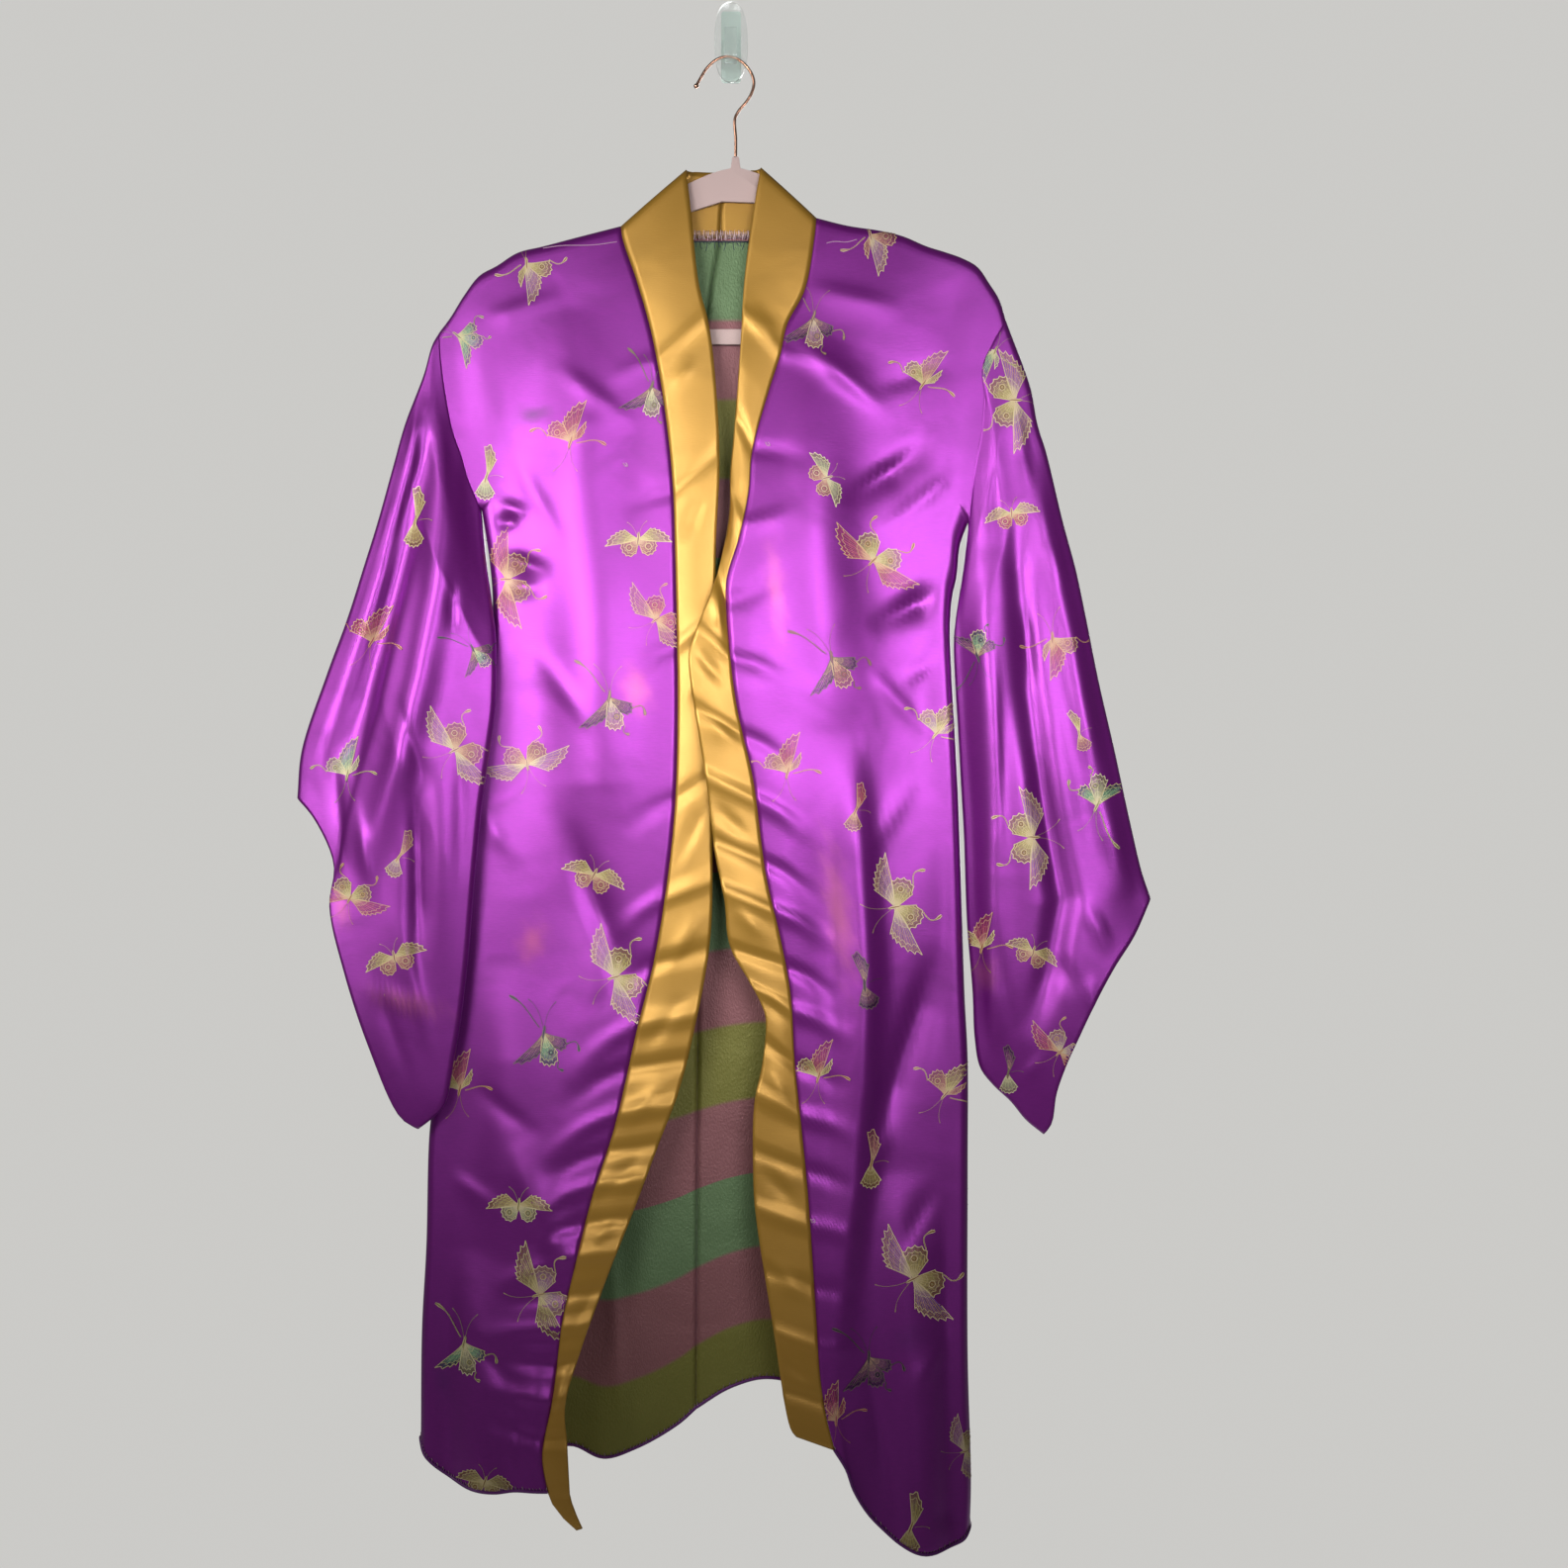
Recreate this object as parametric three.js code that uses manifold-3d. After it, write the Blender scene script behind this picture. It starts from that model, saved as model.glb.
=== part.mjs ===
// Kimono robe on a flat hanger, hung from an adhesive wall hook.
// Millimetres, +Z up. The wall is the plane y = 0 and the robe hangs in front of it, towards -Y.
// Left and right are the viewer's, who faces the robe's open front.

import * as THREE from 'three';
import Module from 'manifold-3d';
import { mergeVertices } from 'three/addons/utils/BufferGeometryUtils.js';

// Driving dimensions.
const clothWall = 2; // the satin, as a wall
const bandWall = 2.4; // the folded collar band
const seamGap = 0.3; // between two pieces that are sewn or seated
const hangDepth = -16; // the middle plane: hanger, shoulder ridge and side seams
const edgeRadius = 8; // the cloth's turn round that plane
const sleeveEdgeRadius = 5.5;
const foldFade = { side: 25, top: 60, sleeve: 30 }; // from an edge in to a fold's full height
const hangerThick = 5;
const wireRadius = 1.35;
const hookWidth = 11;
const underarmRows = 9; // rows between the turns at the shoulder and at the underarm
const bodyRows = 20; // rows from the underarm to the hem
const shoulderColumns = 7;
const neckSteps = [0.03, 0.12, 0.4, 0.7, 1]; // parts of the neck seam, close at the shoulder
const sleeveRings = 20;
const bandColumns = 4;
const tailStand = 2; // how far the band's loose tail stands forward at its free edge

// A table of rows with named columns.
const table = (names, rows) =>
  rows.map((row) => Object.fromEntries(names.split(' ').map((name, i) => [name, row[i]])));

// Outlines of the left half, each from the top down or from the side inwards.
const left = {
  name: 'left',
  shoulder: table('x z', [
    [-267, -269], [-258, -257], [-245, -236], [-231, -218], [-215, -209], [-196, -197],
    [-172, -191], [-140, -182.5], [-101, -172.5],
  ]),
  neck: table('x z', [[-101, -172.5], [-60, -180], [-30, -182], [-10, -182]]),
  armhole: table('x z', [
    [-267, -269], [-266, -292], [-263, -318], [-255, -361], [-247, -384], [-241, -405], [-229, -434],
  ]),
  side: table('x z', [
    [-229, -434], [-222, -480], [-219, -520], [-223, -580], [-233, -670], [-246, -770],
    [-259, -870], [-271, -960], [-277, -1005], [-280, -1110], [-284, -1186], [-285, -1287],
  ]),
  centreBack: table('x z', [[-10, -182], [-28, -300], [-30, -700], [-32, -1262]]),
  bandSeam: table('x z', [
    [-101, -172.5], [-99, -186], [-86, -225], [-72, -275], [-61, -337], [-53, -408], [-50, -490],
    [-48, -618], [-50, -698], [-55, -755], [-68, -839], [-86, -914], [-105, -997], [-126, -1063],
    [-139, -1116], [-152, -1172], [-161, -1244], [-170, -1294], [-165, -1328],
  ]),
  frontHem: table('x z', [
    [-285, -1287], [-280, -1300], [-267, -1312], [-249, -1322], [-235, -1327], [-213, -1329],
    [-194, -1327], [-165, -1328],
  ]),
  backHem: table('x z', [
    [-285, -1287], [-270, -1303], [-220, -1309], [-180, -1303], [-147, -1297], [-118, -1308],
    [-88, -1299], [-49, -1277], [-32, -1262],
  ]),
  bandFree: table('x z', [
    [-41, -120.5], [-37, -153], [-29, -227], [-19, -269], [-12, -337], [-10, -400], [-13, -466],
    [-14, -560], [-15, -640], [-16, -720], [-18, -826], [-32, -907], [-47, -966], [-66, -1016],
    [-87, -1072], [-109, -1127], [-134, -1196], [-149, -1249], [-147, -1285], [-145, -1329],
  ]),
  // The band's tail below the hem, and how far the band stands forward of its seam.
  bandTail: table('seamX seamZ freeX freeZ', [
    [-161, -1338, -143, -1337], [-151, -1351, -139, -1348], [-139, -1362, -134, -1360],
  ]),
  bandStand: table('z out', [[-172, 0], [-600, 1], [-1000, 3], [-1330, 3]]),
  neckTop: table('x z', [[-41, -120.5], [-24, -121.5], [-8, -122]]),
  // How far the front hangs forward of the flat cloth, at its side and at the band seam.
  frontHang: table('z side seam', [
    [-172, 0, 0], [-300, 0, 8], [-450, 0, 13], [-600, 1, 14], [-800, 2, 16], [-1000, 3, 20],
    [-1330, 6, 24],
  ]),
  // Ridges (lift above 0) and troughs. Rows with one fold number are the points it runs through.
  frontFolds: table('fold x z lift left right', [
    [1, -150, -250, 0, 34, 34], [1, -138, -360, 7, 36, 34], [1, -130, -520, 9, 38, 36],
    [1, -122, -680, 7, 38, 38], [1, -116, -800, 0, 38, 38], [2, -158, -700, 0, 14, 18],
    [2, -130, -780, -4, 14, 18], [2, -100, -850, -5, 14, 18], [2, -88, -900, 0, 14, 18],
    [3, -196, -1010, 0, 12, 18], [3, -180, -1060, 5, 12, 18], [3, -158, -1105, 6, 12, 18],
    [3, -150, -1130, 0, 12, 18], [4, -205, -850, 0, 24, 28], [4, -202, -940, 5, 24, 28],
    [4, -206, -1040, 5, 24, 28], [4, -212, -1120, 0, 24, 28], [5, -178, -1190, 0, 14, 16],
    [5, -176, -1240, 5, 14, 16], [5, -178, -1290, 5, 14, 16], [5, -180, -1330, 3, 14, 16],
    [6, -236, -1110, 0, 22, 26], [6, -230, -1200, 7, 22, 26], [6, -226, -1300, 9, 22, 26],
    [6, -226, -1330, 9, 22, 26], [7, -262, -1080, 0, 12, 14], [7, -263, -1180, -4, 12, 14],
    [7, -262, -1320, -4, 12, 14],
  ]),
  backFolds: table('fold x z lift left right', [
    [1, -180, -420, 0, 26, 24], [1, -195, -600, -3, 26, 24], [1, -210, -900, -3, 26, 24],
    [1, -216, -1290, -3, 26, 24], [2, -115, -380, 0, 30, 28], [2, -128, -600, 4, 30, 28],
    [2, -140, -900, 4, 30, 28], [2, -142, -1290, 4, 30, 28], [3, -72, -520, 0, 20, 20],
    [3, -76, -700, -3, 20, 20], [3, -80, -1270, -3, 20, 20],
  ]),
  sleeveOuter: table('x z', [
    [-267, -269], [-274, -281], [-282, -309], [-299, -355], [-310, -395], [-324, -446], [-336, -485],
    [-351, -533], [-370, -585], [-393, -655], [-397, -698],
  ]),
  sleeveInner: table('x z', [
    [-229, -434], [-224, -481], [-217, -528], [-214, -554], [-214, -614], [-219, -655], [-226, -704],
    [-233, -777], [-239, -849], [-245, -899], [-251, -935], [-260, -978], [-271, -990], [-284, -1000],
  ]),
  cuff: table('x z', [
    [-397, -698], [-380, -718], [-361, -759], [-364, -797], [-350, -856], [-327, -925], [-300, -988],
    [-284, -1000],
  ]),
  // The sleeve's middle plane at its outer and inner edge, and its fullness, front and back.
  sleeveHang: table('t outer inner front back', [
    [0, -16, -16, 0, 0], [0.12, -18, -26, 8, 6], [0.25, -21, -39, 12, 8], [0.6, -25, -43, 15, 9],
    [1, -26, -41, 15, 8],
  ]),
  sleeveFrontFolds: table('fold x z lift left right', [
    [1, -283, -330, 0, 12, 13], [1, -290, -360, 5, 12, 13], [1, -305, -430, 6, 12, 13],
    [1, -320, -491, 6, 12, 13], [1, -346, -556, 6, 12, 13], [1, -372, -634, 5, 12, 13],
    [1, -384, -690, 0, 12, 13], [2, -276, -340, 0, 11, 12], [2, -281, -390, -6, 11, 12],
    [2, -292, -450, -7, 11, 12], [2, -309, -517, -7, 11, 12], [2, -333, -613, -7, 11, 12],
    [2, -350, -680, 0, 11, 12], [3, -257, -345, 0, 13, 16], [3, -256, -410, 6, 13, 16],
    [3, -268, -513, 7, 13, 16], [3, -281, -587, 8, 13, 16], [3, -300, -665, 8, 13, 16],
    [3, -335, -770, 0, 13, 16], [4, -282, -660, 0, 10, 14], [4, -283, -730, -6, 10, 14],
    [4, -282, -800, -6, 10, 14], [4, -281, -880, 0, 10, 14],
  ]),
  sleeveBackFolds: table('fold x z lift left right', [
    [1, -268, -370, 0, 16, 16], [1, -280, -450, -5, 16, 16], [1, -300, -560, -5, 16, 16],
    [1, -314, -680, 0, 16, 16], [2, -298, -520, 0, 18, 18], [2, -304, -620, 3, 18, 18],
    [2, -312, -740, 3, 18, 18], [2, -320, -880, 0, 18, 18],
  ]),
};

const right = {
  name: 'right',
  shoulder: table('x z', [
    [253, -259], [247, -240], [238, -225.5], [227, -210], [213, -202], [196, -196], [180, -191],
    [159, -182], [139, -177], [107, -172], [79, -165],
  ]),
  neck: table('x z', [[79, -165], [50, -175], [20, -180], [-10, -182]]),
  armhole: table('x z', [
    [253, -259], [241, -280], [231, -303], [232, -329], [230, -361], [226, -381], [222, -407],
    [218, -446],
  ]),
  side: table('x z', [
    [218, -446], [211, -467], [208, -495], [204, -513], [202, -543], [203, -577], [206, -632],
    [209, -687], [212, -772], [215, -877], [218, -938], [218, -1036], [218, -1210], [221, -1325],
    [220, -1367],
  ]),
  centreBack: left.centreBack,
  bandSeam: table('x z', [
    [79, -165], [77, -184], [68, -233.5], [52, -265], [46, -292], [36, -324], [20, -383], [17, -419],
    [9, -459], [-3, -499], [-3, -531], [3, -593], [8, -624], [21, -681], [33, -769.5], [46, -826],
    [55, -876], [59, -941], [64, -988], [71, -1060], [78, -1165], [82, -1224], [88, -1261],
    [95, -1289],
  ]),
  frontHem: table('x z', [
    [220, -1367], [213, -1377], [201, -1382], [178, -1386], [156, -1377], [140, -1364], [126, -1349],
    [113, -1327], [106, -1307], [95, -1289],
  ]),
  backHem: table('x z', [
    [220, -1367], [190, -1352], [150, -1318], [100, -1270], [60, -1240], [30, -1234], [0, -1242],
    [-32, -1262],
  ]),
  bandFree: table('x z', [
    [28, -118.5], [23, -147], [13, -221], [9, -289], [3, -368], [0, -400], [-1, -440], [-14, -503],
    [-25, -531], [-37, -566], [-37, -582], [-32, -618], [-21, -686], [-13, -751], [-5, -790],
    [0, -832], [22, -872], [32, -895], [32, -918], [29, -941], [22, -975], [21, -1034], [23, -1072],
    [38, -1170], [55, -1269], [60, -1276],
  ]),
  bandTail: [],
  bandStand: table('z out', [
    [-165, 0], [-300, 0], [-400, -9], [-460, -12], [-510, 2], [-600, 5], [-800, 5], [-1000, 3],
    [-1390, 2],
  ]),
  neckTop: table('x z', [[28, -118.5], [12, -120.5], [-8, -122]]),
  frontHang: table('z side seam', [
    [-165, 0, 0], [-300, 0, 10], [-450, 3, 22], [-600, 5, 28], [-800, 6, 26], [-1000, 6, 24],
    [-1390, 9, 26],
  ]),
  frontFolds: table('fold x z lift left right', [
    [1, 70, -270, 0, 28, 32], [1, 80, -400, 6, 28, 32], [1, 90, -540, 7, 28, 32],
    [1, 96, -640, 0, 28, 32], [2, 110, -650, 0, 20, 12], [2, 118, -740, 8, 20, 12],
    [2, 125, -860, 12, 20, 12], [2, 122, -960, 12, 20, 12], [2, 110, -1080, 10, 20, 12],
    [2, 98, -1180, 5, 20, 12], [2, 95, -1240, 0, 20, 12], [3, 192, -830, 0, 12, 16],
    [3, 175, -890, -5, 12, 16], [3, 150, -960, -6, 12, 16], [3, 134, -1010, 0, 12, 16],
    [4, 206, -498, 0, 10, 14], [4, 170, -520, -5, 10, 14], [4, 128, -546, 0, 10, 14],
    [5, 100, -430, 0, 14, 10], [5, 145, -402, -4, 14, 10], [5, 184, -372, 0, 14, 10],
    [6, 50, -268, 0, 12, 16], [6, 95, -305, 4, 12, 16], [6, 148, -348, 0, 12, 16],
    [7, 150, -1040, 0, 22, 30], [7, 162, -1120, 9, 22, 30], [7, 170, -1250, 13, 22, 30],
    [7, 172, -1380, 14, 22, 30], [8, 206, -1060, 0, 12, 12], [8, 204, -1150, -6, 12, 12],
    [8, 203, -1350, -6, 12, 12],
  ]),
  backFolds: table('fold x z lift left right', [
    [1, 12, -640, 0, 22, 22], [1, 9, -800, -3, 22, 22], [1, 5, -1240, -3, 22, 22],
    [2, 70, -400, 0, 30, 30], [2, 78, -560, 4, 30, 30], [2, 90, -1240, 4, 30, 30],
    [3, 128, -500, 0, 24, 24], [3, 136, -700, -3, 24, 24], [3, 150, -1300, -3, 24, 24],
    [4, 178, -720, 0, 18, 18], [4, 184, -860, 3, 18, 18], [4, 190, -1350, 3, 18, 18],
  ]),
  sleeveOuter: table('x z', [
    [253, -259], [259, -275], [267, -296], [276, -323], [282, -355], [290, -381], [305, -444],
    [317, -489], [326, -532], [337, -588], [352, -654], [366, -719], [377, -766], [385, -790],
  ]),
  sleeveInner: table('x z', [
    [218.7, -446], [213.6, -489], [207, -532], [205, -555], [206.5, -599], [208.5, -631], [211.5, -687],
    [214, -730], [217, -814], [222, -876], [224, -919], [229, -946], [241, -962], [257, -977],
    [271, -994], [287, -1007],
  ]),
  cuff: table('x z', [
    [385, -790], [369, -824], [350, -853], [332, -886], [318, -916], [307, -941], [298, -968],
    [294, -996], [287, -1007],
  ]),
  sleeveHang: table('t outer inner front back', [
    [0, -16, -16, 0, 0], [0.12, -18, -17, 8, 6], [0.25, -19, -18, 13, 8], [0.6, -23, -21, 17, 9],
    [1, -25, -23, 16, 8],
  ]),
  sleeveFrontFolds: table('fold x z lift left right', [
    [1, 230, -470, 0, 12, 14], [1, 232, -560, 6, 12, 14], [1, 238, -740, 6, 12, 14],
    [1, 240, -880, 5, 12, 14], [1, 244, -930, 0, 12, 14], [2, 260, -430, 0, 12, 12],
    [2, 263, -490, -6, 12, 12], [2, 272, -600, -8, 12, 12], [2, 286, -700, -9, 12, 12],
    [2, 302, -790, -8, 12, 12], [2, 290, -860, -7, 12, 12], [2, 272, -920, 0, 12, 12],
    [3, 283, -380, 0, 14, 15], [3, 292, -440, 6, 14, 15], [3, 312, -540, 7, 14, 15],
    [3, 330, -640, 8, 14, 15], [3, 350, -730, 7, 14, 15], [3, 364, -790, 0, 14, 15],
  ]),
  sleeveBackFolds: table('fold x z lift left right', [
    [1, 262, -390, 0, 16, 16], [1, 275, -520, -5, 16, 16], [1, 286, -650, -5, 16, 16],
    [1, 292, -730, 0, 16, 16], [2, 248, -520, 0, 16, 16], [2, 252, -650, 3, 16, 16],
    [2, 260, -820, 3, 16, 16], [2, 264, -930, 0, 16, 16], [3, 312, -520, 0, 14, 14],
    [3, 322, -640, -4, 14, 14], [3, 336, -750, -4, 14, 14], [3, 342, -820, 0, 14, 14],
  ]),
};

// A smooth curve through the rows of an outline.
function edge(rows) {
  const points = rows.map(({ x, z }) => new THREE.Vector3(x, 0, z));
  const curve = new THREE.CatmullRomCurve3(points, false, 'centripetal');
  curve.arcLengthDivisions = 400;
  return curve;
}

// A table's column at a place along it, held past its ends.
function lookUp(rows, key, place, column) {
  const rising = rows[rows.length - 1][key] > rows[0][key];
  const i = rows.findIndex((row) => (rising ? row[key] >= place : row[key] <= place));
  if (i === 0) return rows[0][column];
  if (i < 0) return rows[rows.length - 1][column];
  const [a, b] = [rows[i - 1], rows[i]];
  return THREE.MathUtils.lerp(a[column], b[column], (place - a[key]) / (b[key] - a[key]));
}

const smooth = (value) => THREE.MathUtils.smoothstep(value, 0, 1);

// The round turn of an edge: 0 on it, 1 from one radius inwards.
const roundTurn = (distance, radius = edgeRadius) =>
  Math.sqrt(1 - (1 - THREE.MathUtils.clamp(distance / radius, 0, 1)) ** 2);

// Distances along an edge: close together in the round turns, then evenly spaced.
const turnSteps = [0, 0.134, 0.5, 1].map((step) => step * edgeRadius);

function stations(length, inner, bothEnds) {
  const last = bothEnds ? length - edgeRadius : length;
  const even = Array.from({ length: inner }, (_, i) =>
    edgeRadius + ((last - edgeRadius) * (i + 1)) / (bothEnds ? inner + 1 : inner));
  const far = bothEnds ? turnSteps.map((step) => length - step).reverse() : [];
  return [...turnSteps, ...even, ...far];
}

// The sum of a table's soft folds at one point. A fold runs through its rows, and lifts by its
// amount times exp(-(distance / width)^2), with a width for either side of it, seen going down.
function foldLift(folds, x, z) {
  let sum = 0;
  let best = 0;
  folds.slice(1).forEach((end, k) => {
    const start = folds[k];
    if (start.fold !== end.fold) {
      sum += best;
      best = 0;
      return;
    }
    const [dx, dz] = [end.x - start.x, end.z - start.z];
    const along = THREE.MathUtils.clamp(
      ((x - start.x) * dx + (z - start.z) * dz) / (dx * dx + dz * dz), 0, 1);
    const [awayX, awayZ] = [x - start.x - along * dx, z - start.z - along * dz];
    const width = awayX * dz - awayZ * dx < 0 ? end.right : end.left;
    const lift = THREE.MathUtils.lerp(start.lift, end.lift, along);
    const value = lift * Math.exp(-((Math.hypot(awayX, awayZ) / width) ** 2));
    if (Math.abs(value) > Math.abs(best)) best = value;
  });
  return sum + best;
}

// Edges and stations that the pieces of one half share.
function layOut(half) {
  const armhole = edge(half.armhole);
  const side = edge(half.side);
  const armholeSteps = stations(armhole.getLength(), underarmRows, true);
  const sideLength = side.getLength();
  const sideSteps = Array.from({ length: bodyRows }, (_, i) => (sideLength * (i + 1)) / bodyRows);
  const total = armhole.getLength() + sideLength;
  const rows = [
    ...armholeSteps.map((step) => ({
      down: step, at: armhole.getPointAt(step / armhole.getLength()),
    })),
    ...sideSteps.map((step) => ({
      down: armhole.getLength() + step, at: side.getPointAt(step / sideLength),
    })),
  ];
  rows.forEach((row) => {
    row.part = row.down / total;
    row.open = roundTurn(armhole.getLength() - row.down);
  });
  const shoulder = edge(half.shoulder);
  const neck = edge(half.neck);
  const shoulderSteps = stations(shoulder.getLength(), shoulderColumns, false);
  return { half, rows, underarm: armholeSteps.length - 1, shoulder, neck, shoulderSteps };
}

// Points along an inner edge for the rows: the first ones at the same distances as on the side.
function matchRows(curve, rows) {
  const length = curve.getLength();
  return rows.map(({ down, part }, i) =>
    curve.getPointAt(i < turnSteps.length ? down / length : part));
}

// A panel's outline points: a patch between its side, inner edge, top and hem.
function patch(sidePoints, innerPoints, top, hem, rows, across) {
  return rows.map(({ part }, i) => across.map((u, j) => {
    const lerp = (a, b) => new THREE.Vector3().lerpVectors(a, b, u);
    const bend = (curvePoints, row) =>
      curvePoints[j].clone().sub(lerp(sidePoints[row], innerPoints[row]));
    return lerp(sidePoints[i], innerPoints[i])
      .addScaledVector(bend(top, 0), 1 - part)
      .addScaledVector(bend(hem, rows.length - 1), part);
  }));
}

// Outward directions of a grid of points. Facing is -1 to the front and +1 to the wall.
function directions(grid, facing, around = false) {
  const [rows, columns] = [grid.length, grid[0].length];
  const pick = (i, j) => grid[THREE.MathUtils.clamp(i, 0, rows - 1)][
    around ? (j + columns) % columns : THREE.MathUtils.clamp(j, 0, columns - 1)];
  const result = grid.map((row, i) => row.map((_, j) => {
    const down = pick(i + 1, j).clone().sub(pick(i - 1, j));
    const across = pick(i, j + 1).clone().sub(pick(i, j - 1));
    return down.cross(across).normalize();
  }));
  const middle = result[rows >> 1][around ? columns >> 2 : columns >> 1];
  if (middle.y * facing < 0) result.flat().forEach((direction) => direction.negate());
  return result;
}

// A closed wall of cloth: the outer points, the same moved inwards, and the rims between them.
function wallOf(outer, outward, thick, around = false) {
  const [rows, columns] = [outer.length, outer[0].length];
  const inner = outer.map((row, i) => row.map((point, j) =>
    point.clone().addScaledVector(outward[i][j], -thick)));
  const positions = [...outer.flat(), ...inner.flat()].flatMap((point) => point.toArray());
  const id = (layer, i, j) => (layer * rows + i) * columns + (around ? j % columns : j);
  const index = [];
  const quad = (a, b, c, d) => index.push(a, b, c, a, c, d);
  const spans = around ? columns : columns - 1;
  for (let j = 0; j < spans; j += 1) {
    for (let i = 0; i < rows - 1; i += 1) {
      quad(id(0, i, j), id(0, i + 1, j), id(0, i + 1, j + 1), id(0, i, j + 1));
      quad(id(1, i, j), id(1, i, j + 1), id(1, i + 1, j + 1), id(1, i + 1, j));
    }
    quad(id(0, 0, j), id(0, 0, j + 1), id(1, 0, j + 1), id(1, 0, j));
    quad(id(0, rows - 1, j + 1), id(0, rows - 1, j), id(1, rows - 1, j), id(1, rows - 1, j + 1));
  }
  for (let i = 0; i < rows - 1 && !around; i += 1) {
    const far = columns - 1;
    quad(id(0, i + 1, 0), id(0, i, 0), id(1, i, 0), id(1, i + 1, 0));
    quad(id(0, i, far), id(0, i + 1, far), id(1, i + 1, far), id(1, i, far));
  }
  const corner = (k) => new THREE.Vector3().fromArray(positions, 3 * k);
  let volume = 0;
  for (let k = 0; k < index.length; k += 3) {
    volume += corner(index[k]).dot(corner(index[k + 1]).cross(corner(index[k + 2])));
  }
  if (volume < 0) index.reverse();
  const geometry = new THREE.BufferGeometry();
  geometry.setAttribute('position', new THREE.Float32BufferAttribute(positions, 3));
  geometry.setIndex(index);
  geometry.computeVertexNormals();
  return geometry;
}

// One front or back panel of a half, as its outer points and their outward directions.
function panel(plan, back) {
  const { half, rows, underarm, shoulder, neck, shoulderSteps } = plan;
  const facing = back ? 1 : -1;
  const topPoints = shoulderSteps.map((step) => shoulder.getPointAt(step / shoulder.getLength()));
  if (back) topPoints.push(...neckSteps.map((step) => neck.getPointAt(step)));
  const sidePoints = rows.map(({ at }) => at);
  const innerPoints = matchRows(edge(back ? half.centreBack : half.bandSeam), rows);
  const [start, end] = [topPoints[0].x, topPoints[topPoints.length - 1].x];
  const across = topPoints.map(({ x }) => (x - start) / (end - start));
  const hemCurve = edge(back ? half.backHem : half.frontHem);
  const hem = across.map((u) => hemCurve.getPointAt(u));
  const outline = patch(sidePoints, innerPoints, topPoints, hem, rows, across);
  const ridge = shoulderSteps.length - 1; // the last column that turns over the shoulder
  const folds = back ? half.backFolds : half.frontFolds;
  const grid = outline.map((line, i) => line.map(({ x, z }, j) => {
    const fromSide = Math.abs(x - line[0].x);
    const sideTurn = 1 - (1 - roundTurn(fromSide)) * (1 - rows[i].open);
    const overRidge = j <= ridge ? 1 : 1 - roundTurn(neck.getLength() * neckSteps[j - ridge - 1]);
    const topTurn = 1 - (1 - roundTurn(rows[i].down)) * overRidge;
    const clear = smooth((fromSide - edgeRadius) / foldFade.side)
      * smooth(rows[i].down / foldFade.top);
    let out = edgeRadius * sideTurn * topTurn + clear * foldLift(folds, x, z);
    if (!back) {
      const toSeam = lookUp(half.frontHang, 'z', z, 'seam') * smooth(across[j]) * topTurn;
      const atSide = lookUp(half.frontHang, 'z', z, 'side') * sideTurn;
      out += toSeam + atSide;
    }
    return new THREE.Vector3(x, hangDepth + facing * Math.max(out, seamGap / 2), z);
  }));
  const outward = directions(grid, facing);
  const away = new THREE.Vector3(Math.sign(half.side[0].x), 0, 0);
  outward.forEach((line, i) => {
    if (i > 0) line[line.length - 1].setX(0).normalize();
    if (i >= underarm) line[0].copy(away);
  });
  for (let j = 0; j <= ridge; j += 1) outward[0][j].setY(0).normalize();
  return { grid, outward, ridge, underarm };
}

// The loop of the armhole, from the shoulder down the front and up the back, with directions
// that lie in the plane across the seam, so that body and sleeve end in matching rims.
function armholeLoop(front, back) {
  const last = front.underarm;
  const down = front.grid.slice(0, last + 1).map((line) => line[0]);
  const up = back.grid.slice(0, last + 1).map((line) => line[0]).reverse();
  const ends = [down[0], down[last]].map((point) => point.clone().setY(hangDepth));
  const loop = [ends[0], ...down.slice(1, last), ends[1], ...up.slice(1, last)];
  const outward = loop.map((_, k) => {
    const before = loop[(k + loop.length - 1) % loop.length];
    const after = loop[(k + 1) % loop.length];
    const tangent = after.clone().sub(before);
    return new THREE.Vector3(0, tangent.z, -tangent.y).normalize();
  });
  outward[0].set(0, 0, 1);
  outward[last].set(0, 0, -1);
  const turned = outward[last >> 1].y > 0;
  outward.forEach((direction, k) => {
    if (turned && k % last !== 0) direction.negate();
  });
  for (let i = 1; i < last; i += 1) {
    front.outward[i][0].copy(outward[i]);
    back.outward[i][0].copy(outward[2 * last - i]);
  }
  return { loop, outward, last };
}

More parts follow.
